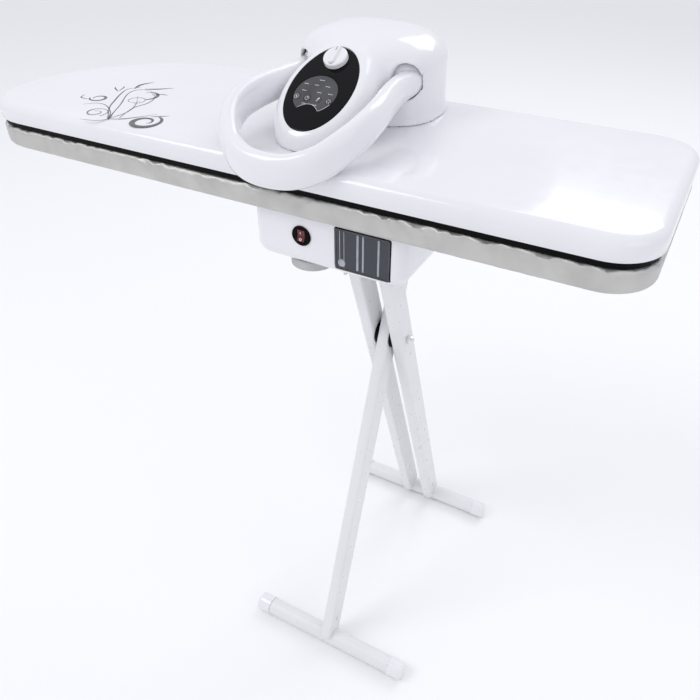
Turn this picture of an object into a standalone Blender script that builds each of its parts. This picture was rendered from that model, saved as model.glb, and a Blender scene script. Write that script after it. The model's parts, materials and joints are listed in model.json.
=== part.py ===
"""Flat steam ironing press with a lift-up heated head, on a folding cross-leg stand.

Frame: metres, +Z up, the floor at z = 0. +X runs along the board towards its square end, -Y is
the user's side and +Y the hinge side. The press is modelled closed, locked and standing.
"""

import math

import bmesh
import bpy
from mathutils import Matrix, Vector

# Driving dimensions.
BOARD_LENGTH = 0.810
BOARD_DEPTH = 0.272
CORNER_RADIUS = 0.048  # the two corners of the square end
WORK_HEIGHT = 0.712  # top of the ironing board above the floor
BOARD_THICKNESS = 0.024
SHELL_RIM = 0.720  # lower edge of the head's white cover
SHELL_TOP = 0.744
GAP = 0.0003  # between parts that touch

TOWER_X = 0.041  # plane of symmetry of the tower, pod and handle
TOWER_TOP = 0.835
PANEL_CENTRE = Vector((TOWER_X, -0.050, 0.793))
PANEL_TILT = math.radians(31.8)
PANEL_HALF_WIDTH = 0.0366
PANEL_HALF_LENGTH = 0.0555

HINGE_AXIS = Vector((TOWER_X, 0.152, 0.716))
HANDLE_AXIS = Vector((TOWER_X, 0.050, 0.787))
HUB_OFFSET = 0.0670  # from the plane of symmetry to the middle of a handle arm at its hub
HANDLE_HALF_WIDTH = 0.0105

HOUSING_LEFT, HOUSING_RIGHT = -0.006, 0.177
HOUSING_FRONT, HOUSING_REAR = -0.124, 0.100
HOUSING_BOTTOM = 0.625
SWITCH_CENTRE = Vector((0.057, HOUSING_FRONT, 0.6625))
SWITCH_RADIUS = 0.0115
ROCKER_THROW = math.radians(14)  # the upper half is pressed in at rest
TANK_LEFT, TANK_RIGHT = 0.098, 0.161
TANK_BOTTOM, TANK_TOP = 0.635, 0.682
TANK_LENGTH = 0.140

STAND_X = 0.105  # middle of the stand
LEG_WIDTH, LEG_DEPTH, LEG_WALL = 0.016, 0.034, 0.0015
RAIL_OFFSET = 0.020  # from the inner leg's middle to an outer rail's middle
CROSS_HEIGHT = 0.475
TOP_PIVOT_HEIGHT = 0.600
LEG_LEAN = math.radians(20.4)
FOOT_RADIUS = 0.0125
FOOT_BAR_LENGTH = 0.250

UPPER_ARM = (TOP_PIVOT_HEIGHT - CROSS_HEIGHT) / math.cos(LEG_LEAN)
TOP_PIVOT_Y = -UPPER_ARM * math.sin(LEG_LEAN)
FOOT_Y = (CROSS_HEIGHT - FOOT_RADIUS) * math.tan(LEG_LEAN)

X_AXIS, Y_AXIS, Z_AXIS = Vector((1, 0, 0)), Vector((0, 1, 0)), Vector((0, 0, 1))
PANEL_UP = Vector((0, math.cos(PANEL_TILT), math.sin(PANEL_TILT)))
PANEL_NORMAL = Vector((0, -math.sin(PANEL_TILT), math.cos(PANEL_TILT)))

COLOURS = {
    "white_gloss": ((0.86, 0.86, 0.88, 1), 0.18, 0.0),
    "white_paint": ((0.83, 0.83, 0.84, 1), 0.30, 0.0),
    "black_gloss": ((0.006, 0.006, 0.007, 1), 0.08, 0.0),
    "black_plastic": ((0.012, 0.012, 0.013, 1), 0.45, 0.0),
    "smoke_grey": ((0.10, 0.10, 0.11, 1), 0.12, 0.0),
    "smoke_clear": ((0.05, 0.06, 0.08, 1), 0.06, 0.0),
    "silver_fabric": ((0.42, 0.42, 0.41, 1), 0.42, 0.6),
    "felt": ((0.55, 0.50, 0.42, 1), 0.95, 0.0),
    "aluminium": ((0.60, 0.61, 0.62, 1), 0.35, 1.0),
    "steel": ((0.50, 0.50, 0.51, 1), 0.28, 1.0),
    "chrome": ((0.80, 0.80, 0.81, 1), 0.08, 1.0),
    "brass": ((0.68, 0.48, 0.20, 1), 0.30, 1.0),
    "grey_rubber": ((0.38, 0.38, 0.38, 1), 0.70, 0.0),
    "black_rubber": ((0.02, 0.02, 0.02, 1), 0.75, 0.0),
    "red_plastic": ((0.35, 0.005, 0.01, 1), 0.25, 0.0),
    "circuit_green": ((0.01, 0.09, 0.04, 1), 0.50, 0.0),
}


# ---------------------------------------------------------------- scene and materials
def clear_scene():
    for obj in list(bpy.data.objects):
        bpy.data.objects.remove(obj, do_unlink=True)


def material_for(name, look):
    """A Principled material of the piece's own, in one of the named looks."""
    colour, roughness, metallic = COLOURS[look]
    material = bpy.data.materials.new(name + "_finish")
    material.use_nodes = True
    shader = material.node_tree.nodes["Principled BSDF"]
    shader.inputs["Base Color"].default_value = colour
    shader.inputs["Roughness"].default_value = roughness
    shader.inputs["Metallic"].default_value = metallic
    return material


def joint_empty(name, place, parent=None):
    empty = bpy.data.objects.new(name, None)
    bpy.context.scene.collection.objects.link(empty)
    empty.matrix_world = Matrix.Translation(place)
    if parent:
        empty.parent = parent
        empty.matrix_parent_inverse = parent.matrix_world.inverted()
    bpy.context.view_layer.update()
    return empty


def add_part(name, mesh_data, look, parent, smooth_angle=35):
    """Makes the object of one piece; its points are in world space and it follows its parent."""
    mesh = bpy.data.meshes.new(name)
    mesh_data.to_mesh(mesh)
    mesh_data.free()
    mesh.materials.append(material_for(name, look))
    mesh.shade_smooth()
    mesh.set_sharp_from_angle(angle=math.radians(smooth_angle))
    obj = bpy.data.objects.new(name, mesh)
    bpy.context.scene.collection.objects.link(obj)
    if parent:
        obj.parent = parent
        obj.matrix_parent_inverse = parent.matrix_world.inverted()
    return obj


def add_cutter(name, mesh_data):
    mesh = bpy.data.meshes.new(name)
    mesh_data.to_mesh(mesh)
    mesh_data.free()
    obj = bpy.data.objects.new(name, mesh)
    bpy.context.scene.collection.objects.link(obj)
    obj.hide_render = True
    obj.display_type = "WIRE"
    return obj


def boolean(obj, name, mesh_data, operation="DIFFERENCE"):
    modifier = obj.modifiers.new(name, "BOOLEAN")
    modifier.operation = operation
    modifier.solver = "EXACT"
    modifier.object = add_cutter(obj.name + "_" + name, mesh_data)


# ---------------------------------------------------------------- shapes
def arc(centre, radius, start, end, steps=6):
    """Points of an arc in plan, angles in degrees."""
    points = []
    for i in range(steps + 1):
        angle = math.radians(start + (end - start) * i / steps)
        points.append((centre[0] + radius * math.cos(angle), centre[1] + radius * math.sin(angle)))
    return points


def bezier(p0, p1, p2, p3, steps=9):
    points = []
    for i in range(steps + 1):
        t = i / steps
        weights = ((1 - t) ** 3, 3 * t * (1 - t) ** 2, 3 * t * t * (1 - t), t**3)
        points.append(tuple(sum(w * p[k] for w, p in zip(weights, (p0, p1, p2, p3))) for k in (0, 1)))
    return points


def offset_inwards(points, distance):
    """Moves a counter-clockwise outline inwards by a distance."""
    moved = []
    for i, point in enumerate(points):
        before, here, after = (Vector(points[i - 1]), Vector(point), Vector(points[(i + 1) % len(points)]))
        first, second = (here - before).normalized(), (after - here).normalized()
        normals = Vector((-first.y, first.x)), Vector((-second.y, second.x))
        middle = (normals[0] + normals[1]).normalized()
        moved.append(tuple(here + middle * distance / middle.dot(normals[0])))
    return moved


def board_outline(inset=0.0):
    """Plan of head and board: straight sides, two round right corners, a tapered round left end."""
    half_length, half_depth, radius = BOARD_LENGTH / 2, BOARD_DEPTH / 2, CORNER_RADIUS
    right = half_length - radius
    nose = (-0.9958 * half_length, -0.28 * half_depth)
    points = arc((right, -half_depth + radius), radius, -90, 0)
    points += arc((right, half_depth - radius), radius, 0, 90)
    points += bezier(
        (-0.47 * half_length, half_depth),
        (-0.77 * half_length, half_depth),
        (-0.96 * half_length, 0.24 * half_depth),
        nose,
    )
    points += bezier(
        nose,
        (-1.0157 * half_length, -0.68 * half_depth),
        (-0.97 * half_length, -half_depth),
        (-0.83 * half_length, -half_depth),
    )[1:]
    return offset_inwards(points, inset) if inset else points


def rounded_rectangle(x0, x1, y0, y1, radius, steps=4):
    points = arc((x1 - radius, y0 + radius), radius, -90, 0, steps)
    points += arc((x1 - radius, y1 - radius), radius, 0, 90, steps)
    points += arc((x0 + radius, y1 - radius), radius, 90, 180, steps)
    points += arc((x0 + radius, y0 + radius), radius, 180, 270, steps)
    return points


def superellipse(centre, half_width, half_length, power, count=28):
    points = []
    for i in range(count):
        angle = 2 * math.pi * i / count
        c, s = math.cos(angle), math.sin(angle)
        x = math.copysign(abs(c) ** (2 / power), c) * half_width
        y = math.copysign(abs(s) ** (2 / power), s) * half_length
        points.append((centre[0] + x, centre[1] + y))
    return points


def at_height(outline, z):
    return [Vector((x, y, z)) for x, y in outline]


def loft(rings, ends="cap"):
    """A closed solid through rings of equal point count; ends are capped, or joined to each other."""
    bm = bmesh.new()
    loops = [[bm.verts.new(point) for point in ring] for ring in rings]
    pairs = list(zip(loops, loops[1:]))
    if ends == "join":
        pairs.append((loops[-1], loops[0]))
    for lower, upper in pairs:
        for i in range(len(lower)):
            j = (i + 1) % len(lower)
            bm.faces.new((lower[i], lower[j], upper[j], upper[i]))
    if ends == "cap":
        bm.faces.new(reversed(loops[0]))
        bm.faces.new(loops[-1])
    if bm.calc_volume(signed=True) < 0:
        bmesh.ops.reverse_faces(bm, faces=bm.faces)
    return bm


def box(x0, x1, y0, y1, z0, z1, bevel=0.0, segments=2):
    bm = bmesh.new()
    size = Vector((x1 - x0, y1 - y0, z1 - z0))
    place = Matrix.Translation(((x0 + x1) / 2, (y0 + y1) / 2, (z0 + z1) / 2))
    bmesh.ops.create_cube(bm, size=1, matrix=place @ Matrix.Diagonal((*size, 1)))
    if bevel:
        bmesh.ops.bevel(
            bm, geom=list(bm.edges), offset=bevel, segments=segments, affect="EDGES", profile=0.5
        )
    return bm


def turned(profile, start, direction, sides=24):
    """A solid of revolution. The profile lists (distance along the axis, radius)."""
    axis = direction.normalized()
    across = axis.orthogonal().normalized()
    other = axis.cross(across)
    rings = []
    for along, radius in profile:
        centre = start + axis * along
        rings.append(
            [
                centre
                + across * radius * math.cos(2 * math.pi * i / sides)
                + other * radius * math.sin(2 * math.pi * i / sides)
                for i in range(sides)
            ]
        )
    return loft(rings)


def cylinder(start, end, radius, sides=24):
    return turned([(0, radius), ((end - start).length, radius)], start, end - start, sides)


def swept(path, half_width, half_height, sides=14, up=Z_AXIS):
    """An oval bar along a path; half_width lies level, half_height, one or one per point, across it."""
    heights = half_height if isinstance(half_height, list) else [half_height] * len(path)
    rings = []
    for i, (here, height) in enumerate(zip(path, heights)):
        before, after = path[max(i - 1, 0)], path[min(i + 1, len(path) - 1)]
        along = (after - before).normalized()
        side = along.cross(up).normalized()
        rise = side.cross(along).normalized()
        ring = []
        for k in range(sides):
            angle = 2 * math.pi * k / sides
            ring.append(here + side * half_width * math.cos(angle) + rise * height * math.sin(angle))
        rings.append(ring)
    return loft(rings)


def smooth_path(points, steps=6):
    """Catmull-Rom curve through the points."""
    ends = [points[0] * 2 - points[1]] + list(points) + [points[-1] * 2 - points[-2]]
    path = []
    for a, b, c, d in zip(ends, ends[1:], ends[2:], ends[3:]):
        for i in range(steps):
            t = i / steps
            path.append(
                0.5 * (2 * b + (c - a) * t + (2 * a - 5 * b + 4 * c - d) * t**2 + (3 * b - a - 3 * c + d) * t**3)
            )
    return path + [points[-1]]


def join(target, *others):
    """Copies the closed shells of other bmeshes into the first one."""
    for other in others:
        mesh = bpy.data.meshes.new("scratch")
        other.to_mesh(mesh)
        target.from_mesh(mesh)
        bpy.data.meshes.remove(mesh)
        other.free()
    return target


# ---------------------------------------------------------------- ironing board
def make_board(base):
    top, bottom = WORK_HEIGHT, WORK_HEIGHT - BOARD_THICKNESS
    cover_rings = [
        at_height(board_outline(0.0016), top - 0.0012),
        at_height(board_outline(0.0016), bottom + 0.0012),
        at_height(board_outline(0.022), bottom + 0.0012),
        at_height(board_outline(0.022), bottom),
        at_height(board_outline(0.004), bottom),
        at_height(board_outline(0.0), bottom + 0.004),
        at_height(board_outline(0.0), top - 0.004),
        at_height(board_outline(0.004), top),
    ]
    add_part("ironing_cover", loft(cover_rings), "silver_fabric", base)

    pad_rings = [at_height(board_outline(0.003), z) for z in (top - 0.0100, top - 0.0015)]
    add_part("foam_pad", loft(pad_rings), "felt", base)

    pan_top, pan_bottom = top - 0.0103, bottom + 0.0015
    pan_rings = [
        at_height(board_outline(0.006), pan_bottom + 0.0025),
        at_height(board_outline(0.006), pan_top),
        at_height(board_outline(0.003), pan_top),
        at_height(board_outline(0.003), pan_bottom),
    ]
    add_part("board_tray", loft(pan_rings), "white_gloss", base)


# ---------------------------------------------------------------- base housing
def make_housing(base):
    top, wall = WORK_HEIGHT - BOARD_THICKNESS - GAP, 0.003
    sides = (HOUSING_LEFT, HOUSING_RIGHT, HOUSING_FRONT, HOUSING_REAR)

    def section(inset, z, radius):
        x0, x1, y0, y1 = sides
        return at_height(rounded_rectangle(x0 + inset, x1 - inset, y0 + inset, y1 - inset, radius), z)

    outer = [(0.014, 0.0), (0.0041, 0.0041), (0.0, 0.014), (0.0, top - HOUSING_BOTTOM)]
    rings = [section(0.014, HOUSING_BOTTOM + wall, 0.010)]
    rings += [
        section(0.0041 + wall, HOUSING_BOTTOM + 0.0041 + wall * 0.7, 0.012),
        section(wall, HOUSING_BOTTOM + 0.014, 0.011),
        section(wall, top, 0.011),
    ]
    rings += [section(inset, HOUSING_BOTTOM + rise, 0.014) for inset, rise in reversed(outer)]
    housing = add_part("base_housing", loft(rings), "white_gloss", base)
    front, clear = HOUSING_FRONT - 0.01, 0.0012
    boolean(
        housing,
        "tank_window",
        box(TANK_LEFT - clear, TANK_RIGHT + clear, front, front + 0.03, TANK_BOTTOM - clear, TANK_TOP + clear),
    )
    hole = SWITCH_CENTRE - Y_AXIS * 0.01
    boolean(housing, "switch_hole", cylinder(hole, hole + Y_AXIS * 0.03, 0.0100, 20))
    gland = Vector((0.140, HOUSING_REAR - 0.01, 0.655))
    boolean(housing, "gland_hole", cylinder(gland, gland + Y_AXIS * 0.03, 0.0065, 16))
    hose = Vector((0.045, HOUSING_REAR - 0.01, 0.668))
    boolean(housing, "hose_hole", cylinder(hose, hose + Y_AXIS * 0.03, 0.0050, 12))

    gland_profile = [(0, 0.0060), (0.0125, 0.0060), (0.0125, 0.0095), (0.019, 0.0085), (0.024, 0.0060)]
    gland_bm = turned(gland_profile, gland - Y_AXIS * 0.002 + Y_AXIS * GAP, Y_AXIS, 16)
    add_part("cord_gland", gland_bm, "black_rubber", base)

    for name, x, y, radius in (
        ("foot_front", 0.050, -0.090, 0.0255),
        ("foot_rear_left", 0.024, 0.072, 0.0160),
        ("foot_rear_right", 0.148, 0.072, 0.0160),
    ):
        start = Vector((x, y, HOUSING_BOTTOM - GAP))
        profile = [(0, radius - 0.001), (0.0015, radius), (0.0105, radius), (0.0120, radius - 0.003)]
        add_part(name, turned(profile, start, -Z_AXIS, 24), "grey_rubber", base)


def make_water_system(base):
    """Sleeve that guides the tank, pump, and the hoses up to the swivel on the head's hinge."""
    play, wall = 0.0005, 0.0018
    x0, x1, z0, z1 = TANK_LEFT - play, TANK_RIGHT + play, TANK_BOTTOM - play, TANK_TOP + play
    y0, y1 = HOUSING_FRONT + 0.0080, HOUSING_FRONT + TANK_LENGTH + 0.012
    inner = rounded_rectangle(x0, x1, z0, z1, 0.002, 1)
    outer = rounded_rectangle(x0 - wall, x1 + wall, z0 - wall, z1 + wall, 0.003, 1)

    def wall_ring(outline, y):
        return [Vector((x, y, z)) for x, z in outline]

    sleeve = loft([wall_ring(inner, y1 - wall), wall_ring(inner, y0), wall_ring(outer, y0), wall_ring(outer, y1)])
    sleeve = add_part("tank_sleeve", sleeve, "white_gloss", base)
    seat = Vector((0.1295, y1 - 0.01, 0.648))
    boolean(sleeve, "valve_hole", cylinder(seat, seat + Y_AXIS * 0.02, 0.0052, 12))

    pump_profile = [(0, 0.0045), (0.012, 0.0045), (0.012, 0.016), (0.052, 0.016), (0.052, 0.004), (0.064, 0.004)]
    add_part("water_pump", turned(pump_profile, Vector((0.036, -0.020, 0.656)), Y_AXIS, 20), "steel", base)
    suction = smooth_path(
        [
            Vector((0.1295, y1 + 0.0010, 0.648)),
            Vector((0.1290, y1 + 0.016, 0.648)),
            Vector((0.112, y1 + 0.026, 0.646)),
            Vector((0.082, y1 + 0.020, 0.644)),
            Vector((0.070, y1 - 0.020, 0.643)),
            Vector((0.068, -0.055, 0.644)),
            Vector((0.053, -0.072, 0.650)),
            Vector((0.038, -0.052, 0.656)),
            Vector((0.036, -0.0205, 0.656)),
        ],
        3,
    )
    add_part("suction_hose", swept(suction, 0.0033, 0.0033, 6), "grey_rubber", base)
    delivery = smooth_path(
        [
            Vector((0.036, 0.0445, 0.656)),
            Vector((0.037, 0.066, 0.658)),
            Vector((0.044, 0.084, 0.667)),
            Vector((0.045, 0.104, 0.668)),
            Vector((0.044, 0.134, 0.670)),
            Vector((TOWER_X, 0.150, 0.684)),
            Vector((TOWER_X, 0.152, 0.7090)),
        ],
        3,
    )
    add_part("delivery_hose", swept(delivery, 0.0033, 0.0033, 6, X_AXIS), "grey_rubber", base)
    swivel = turned(
        [(0, 0.0050), (0.003, 0.0066), (0.019, 0.0066), (0.022, 0.0050)],
        HINGE_AXIS - X_AXIS * 0.011,
        X_AXIS,
        16,
    )
    swivel = add_part("hose_swivel", swivel, "brass", base)
    bore = HINGE_AXIS - X_AXIS * 0.02
    boolean(swivel, "bore", cylinder(bore, bore + X_AXIS * 0.04, 0.0033, 14))


def make_switch(base, rocker_joint):
    bezel = turned(
        [(0, 0.0097), (0.0125, 0.0097), (0.0125, SWITCH_RADIUS), (0.0140, 0.0110)],
        SWITCH_CENTRE + Y_AXIS * (0.0125 - GAP),
        -Y_AXIS,
        28,
    )
    bezel = add_part("switch_bezel", bezel, "black_plastic", base)
    y0, y1, half_width, half_height = HOUSING_FRONT - 0.004, HOUSING_FRONT + 0.006, 0.0050, 0.0078
    x, z = SWITCH_CENTRE.x, SWITCH_CENTRE.z
    boolean(bezel, "rocker_well", box(x - half_width, x + half_width, y0, y1, z - half_height, z + half_height))
    half_width, half_height = half_width - 0.0006, half_height - 0.0014
    face = HOUSING_FRONT - 0.0016
    outline = [
        (face - 0.0008, half_height),
        (face + 0.0006, 0.0),
        (face - 0.0008, -half_height),
        (face + 0.0050, -half_height + 0.0006),
        (face + 0.0050, half_height - 0.0006),
    ]
    rings = [[Vector((x + side * half_width, y, z + dz)) for y, dz in outline] for side in (-1, 1)]
    rocker = loft(rings)
    pivot = Matrix.Translation(SWITCH_CENTRE + Y_AXIS * 0.002)
    pressed = pivot @ Matrix.Rotation(-ROCKER_THROW / 2, 4, "X") @ pivot.inverted()
    bmesh.ops.transform(rocker, matrix=pressed, verts=rocker.verts)
    add_part("switch_rocker", rocker, "red_plastic", rocker_joint)


def make_tank(tank_joint):
    x0, x1, z0, z1 = TANK_LEFT, TANK_RIGHT, TANK_BOTTOM, TANK_TOP
    y0, y1 = HOUSING_FRONT - 0.0008, HOUSING_FRONT + TANK_LENGTH
    tank = add_part("water_tank", box(x0, x1, y0, y1, z0, z1, 0.0018, 2), "smoke_clear", tank_joint)
    wall = 0.0022
    boolean(tank, "hollow", box(x0 + wall, x1 - wall, y0 + wall, y1 - wall, z0 + wall, z1 - wall))
    fill = Vector(((x0 + x1) / 2, -0.085, z1 - 0.008))
    boolean(tank, "fill_hole", cylinder(fill, fill + Z_AXIS * 0.02, 0.0100, 20))
    valve = Vector((0.1295, y1 - 0.0010, 0.648))
    boolean(tank, "valve_nozzle", cylinder(valve, valve + Y_AXIS * 0.0108, 0.0040, 12), "UNION")
    bore = valve - Y_AXIS * 0.004
    boolean(tank, "valve_bore", cylinder(bore, bore + Y_AXIS * 0.020, 0.0022, 12))
    drain = Vector((x0 + 0.0075, y0 - 0.004, z0 + 0.0080))
    boolean(tank, "dimple", cylinder(drain, drain + Y_AXIS * 0.0049, 0.0050, 20))
    cap_profile = [(0, 0.0094), (0.0048, 0.0094)]
    cap = turned(cap_profile, Vector((fill.x, fill.y, z1 - 0.0050)), Z_AXIS, 20)
    add_part("tank_fill_cap", cap, "black_rubber", tank_joint)


# ---------------------------------------------------------------- press head
def make_shell(head):
    wall, rim, top = 0.0028, SHELL_RIM, SHELL_TOP
    outer = [(0.0, rim), (0.0, top - 0.012), (0.0012, top - 0.0085), (0.0045, top - 0.0050)]
    outer += [(0.0110, top - 0.0024), (0.0240, top - 0.0008), (0.0450, top)]
    inner = [(0.0450, top - wall), (0.0110, top - wall - 0.0026), (0.0045, top - wall - 0.0062)]
    inner += [(wall, top - wall - 0.0110), (wall, rim)]
    rings = [at_height(board_outline(inset), z) for inset, z in inner + outer]
    shell = add_part("head_cover", loft(rings), "white_gloss", head)
    for name, x in (("left_notch", TOWER_X - 0.070), ("right_notch", TOWER_X + 0.070), ("hose_notch", TOWER_X)):
        half = 0.0045 if name == "hose_notch" else 0.0040
        boolean(shell, name, box(x - half, x + half, 0.120, 0.145, rim - 0.005, rim + 0.0085))
    hole = box(TOWER_X - 0.050, TOWER_X + 0.050, 0.020, 0.095, top - 0.010, top + 0.010)
    boolean(shell, "cable_hole", hole)


def tower_sections(inset):
    """(height, half width, centre in y, half depth) of the tower's level sections."""
    table = [
        (SHELL_TOP + GAP, 0.0840, 0.0690, 0.0650),
        (TOWER_TOP - 0.034, 0.0820, 0.0680, 0.0620),
        (TOWER_TOP - 0.022, 0.0788, 0.0675, 0.0595),
        (TOWER_TOP - 0.012, 0.0720, 0.0670, 0.0545),
        (TOWER_TOP - 0.005, 0.0600, 0.0665, 0.0460),
        (TOWER_TOP, 0.0300, 0.0660, 0.0230),
    ]
    rings = []
    for z, half_width, centre_y, half_depth in table:
        shape = superellipse((TOWER_X, centre_y), half_width - inset, half_depth - inset, 2.7)
        rings.append(at_height(shape, z - inset))
    return rings


def pod_sections(inset):
    """Oval sections parallel to the control panel, from deep in the head up to the panel."""
    table = [(0.058, 0.040, 0.052), (0.034, 0.0500, 0.0680), (0.022, 0.0530, 0.0725)]
    table += [(0.010, 0.0510, 0.0705), (0.003, 0.0455, 0.0650), (0, 0.0405, 0.0595)]
    rings = []
    for depth, half_width, half_length in table:
        centre = PANEL_CENTRE - PANEL_NORMAL * (depth + inset)
        shape = superellipse((0, 0), half_width - inset, half_length - inset, 2.0)
        rings.append([centre + X_AXIS * u + PANEL_UP * v for u, v in shape])
    return rings


def make_tower(head):
    """The control tower with its sloping pod, a hollow cover that is open underneath."""
    wall = 0.0026
    cover = add_part("tower_cover", loft(tower_sections(0.0)), "white_gloss", head)
    boolean(cover, "pod", loft(pod_sections(0.0)), "UNION")
    floor = SHELL_TOP + GAP
    inner = tower_sections(wall)
    inner.insert(0, [point - Z_AXIS * 0.010 for point in inner[0]])
    boolean(cover, "tower_hollow", loft(inner))
    boolean(cover, "pod_hollow", loft(pod_sections(wall)))
    boolean(cover, "flat_underside", box(-0.10, 0.20, -0.20, 0.20, floor - 0.080, floor))
    slot = [(-0.030, 0.7655), (0.0500, 0.7680), (0.0500, 0.8040), (0.0250, 0.8090), (-0.030, 0.8215)]
    for side, name in ((-1, "left_arm_slot"), (1, "right_arm_slot")):
        near, far = sorted((TOWER_X + side * 0.0512, TOWER_X + side * 0.1000))
        boolean(cover, name, hinge_plate(near, far, slot))
    recess = PANEL_CENTRE - PANEL_NORMAL * 0.0023
    boolean(cover, "panel_recess", oval_plate(recess, 0.010, 0.0004))
    window = PANEL_CENTRE - PANEL_NORMAL * 0.012
    boolean(cover, "panel_window", oval_plate(window, 0.020, -0.0040))


def oval_plate(base_point, thickness, margin):
    shape = superellipse((0, 0), PANEL_HALF_WIDTH + margin, PANEL_HALF_LENGTH + margin, 2.0, 40)
    rings = []
    for rise in (0, thickness):
        rings.append([base_point + PANEL_NORMAL * rise + X_AXIS * u + PANEL_UP * v for u, v in shape])
    return loft(rings)


def on_panel(u, v, rise=0.0):
    return PANEL_CENTRE + X_AXIS * u + PANEL_UP * v + PANEL_NORMAL * rise


DISPLAY_CENTRE = (-0.003, -0.0080)
DISPLAY_RADIUS = 0.0245
KNOB_PLACE = (0.0, 0.0385)
BUTTON_ROW = -0.0150
BUTTON_PLACES = (-0.0220, -0.0093, 0.0034, 0.0161)
BUTTON_RADIUS = 0.0040


def display_outline(margin=0.0):
    """A disc whose lower part is cut away by a rising arc."""
    radius, points = DISPLAY_RADIUS + margin, []
    cut_angle = math.radians(58)
    for i in range(25):
        angle = -cut_angle + (math.pi + 2 * cut_angle) * i / 24
        if i == 0 or i == 24:
            angle += math.copysign(margin / radius, i - 12)
        points.append((DISPLAY_CENTRE[0] + radius * math.cos(angle), DISPLAY_CENTRE[1] + radius * math.sin(angle)))
    left, right = points[-1], points[0]
    rise = 0.0065 - margin
    for i in range(1, 8):
        t = i / 8
        height = 4 * rise * t * (1 - t)
        points.append((left[0] + (right[0] - left[0]) * t, left[1] + (right[1] - left[1]) * t + height))
    return points


def panel_prism(outline, low, high):
    return loft([[on_panel(u, v, rise) for u, v in outline] for rise in (low, high)])


def make_panel(head, knob_joint, button_joints):
    fascia = oval_plate(PANEL_CENTRE - PANEL_NORMAL * 0.0020, 0.0026, 0.0)
    fascia = add_part("control_fascia", fascia, "black_gloss", head)
    boolean(fascia, "display_opening", panel_prism(display_outline(0.0002), -0.006, 0.006))
    hole = on_panel(*KNOB_PLACE, -0.006)
    boolean(fascia, "spindle_hole", cylinder(hole, hole + PANEL_NORMAL * 0.012, 0.0034, 14))

    display = panel_prism(display_outline(-0.0002), -0.0020, 0.0004)
    display = add_part("display_window", display, "smoke_grey", head)
    for i, (u, joint) in enumerate(zip(BUTTON_PLACES, button_joints), 1):
        low = on_panel(u, BUTTON_ROW, -0.006)
        boolean(display, f"button_hole_{i}", cylinder(low, low + PANEL_NORMAL * 0.012, BUTTON_RADIUS, 16))
        profile = [(0, BUTTON_RADIUS - 0.0003), (0.0052, BUTTON_RADIUS - 0.0003)]
        button = turned(profile, on_panel(u, BUTTON_ROW, -0.0045), PANEL_NORMAL, 16)
        add_part(f"button_{i}", button, "smoke_grey", joint)

    board = panel_prism(rounded_rectangle(-0.028, 0.028, -0.036, 0.030, 0.006, 2), -0.0098, -0.0082)
    add_part("control_board", board, "circuit_green", head)

    knob = turned(
        [(-0.0060, 0.0030), (0.0010, 0.0030), (0.0010, 0.0134), (0.0050, 0.0132), (0.0068, 0.0122), (0.0072, 0.0105)],
        on_panel(*KNOB_PLACE),
        PANEL_NORMAL,
        28,
    )
    knob = add_part("thermostat_knob", knob, "white_gloss", knob_joint)
    grip = box(-0.0026, 0.0026, -0.0110, 0.0110, 0.0060, 0.0100, 0.0008, 1)
    turn = Matrix.Translation(on_panel(*KNOB_PLACE)) @ Matrix.Rotation(PANEL_TILT, 4, "X")
    bmesh.ops.transform(grip, matrix=turn, verts=grip.verts)
    boolean(knob, "grip", grip, "UNION")


def make_heated_plate(head):
    low = WORK_HEIGHT + GAP
    frame_rings = [at_height(board_outline(0.0115), low + 0.0008), at_height(board_outline(0.0115), SHELL_RIM - GAP)]
    frame_rings += [at_height(board_outline(0.0022), SHELL_RIM - GAP), at_height(board_outline(0.0030), low + 0.0008)]
    frame = add_part("insulating_frame", loft(frame_rings, "join"), "black_plastic", head)
    for name, x in (("left_notch", TOWER_X - 0.070), ("right_notch", TOWER_X + 0.070), ("hose_notch", TOWER_X)):
        boolean(frame, name, box(x - 0.0042, x + 0.0042, 0.115, 0.145, low + 0.0022, SHELL_RIM + 0.004))

    plate_rings = [
        at_height(board_outline(0.0150), low),
        at_height(board_outline(0.0120), low + 0.0020),
        at_height(board_outline(0.0120), SHELL_RIM + 0.0005),
    ]
    plate = add_part("heated_plate", loft(plate_rings), "aluminium", head)
    holes = bmesh.new()
    for row in (-1, 0, 1):
        for i in range(6):
            start = Vector((-0.250 + 0.100 * i + 0.02 * abs(row), 0.075 * row, low - 0.002))
            holes = join(holes, cylinder(start, start + Z_AXIS * 0.014, 0.0016, 6))
    boolean(plate, "steam_holes", holes)

    chamber = box(TOWER_X - 0.015, TOWER_X + 0.045, -0.030, 0.035, SHELL_RIM - 0.002, SHELL_RIM + 0.0150, 0.0015, 1)
    boolean(plate, "steam_chamber", chamber, "UNION")

    lift, bar = SHELL_RIM + 0.0048, 0.0036
    left, right, front, rear = -0.30, 0.33, -0.088, 0.088
    route = [Vector((right, front, lift)), Vector((0.10, front, lift)), Vector((-0.15, front, lift))]
    route += [Vector((left, front + 0.02, lift)), Vector((left - 0.03, -0.030, lift))]
    route += [Vector((left, 0.030, lift)), Vector((-0.18, rear - 0.030, lift))]
    route += [Vector((0.10, rear - 0.030, lift)), Vector((right, rear - 0.030, lift))]
    element = swept(smooth_path(route, 3), bar, bar, 8)
    add_part("heating_element", element, "steel", head)


# ---------------------------------------------------------------- hinge
def hinge_plate(x0, x1, outline):
    """A flat plate of constant thickness in X, its outline given as (y, z)."""
    return loft([[Vector((x, y, z)) for y, z in outline] for x in (x0, x1)])


def hinge_side(radius, steps=8):
    """Half circle round the hinge axis, from below behind it to above, in (y, z)."""
    points = arc((HINGE_AXIS.y, HINGE_AXIS.z), radius, -80, 100, steps)
    return points


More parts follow.
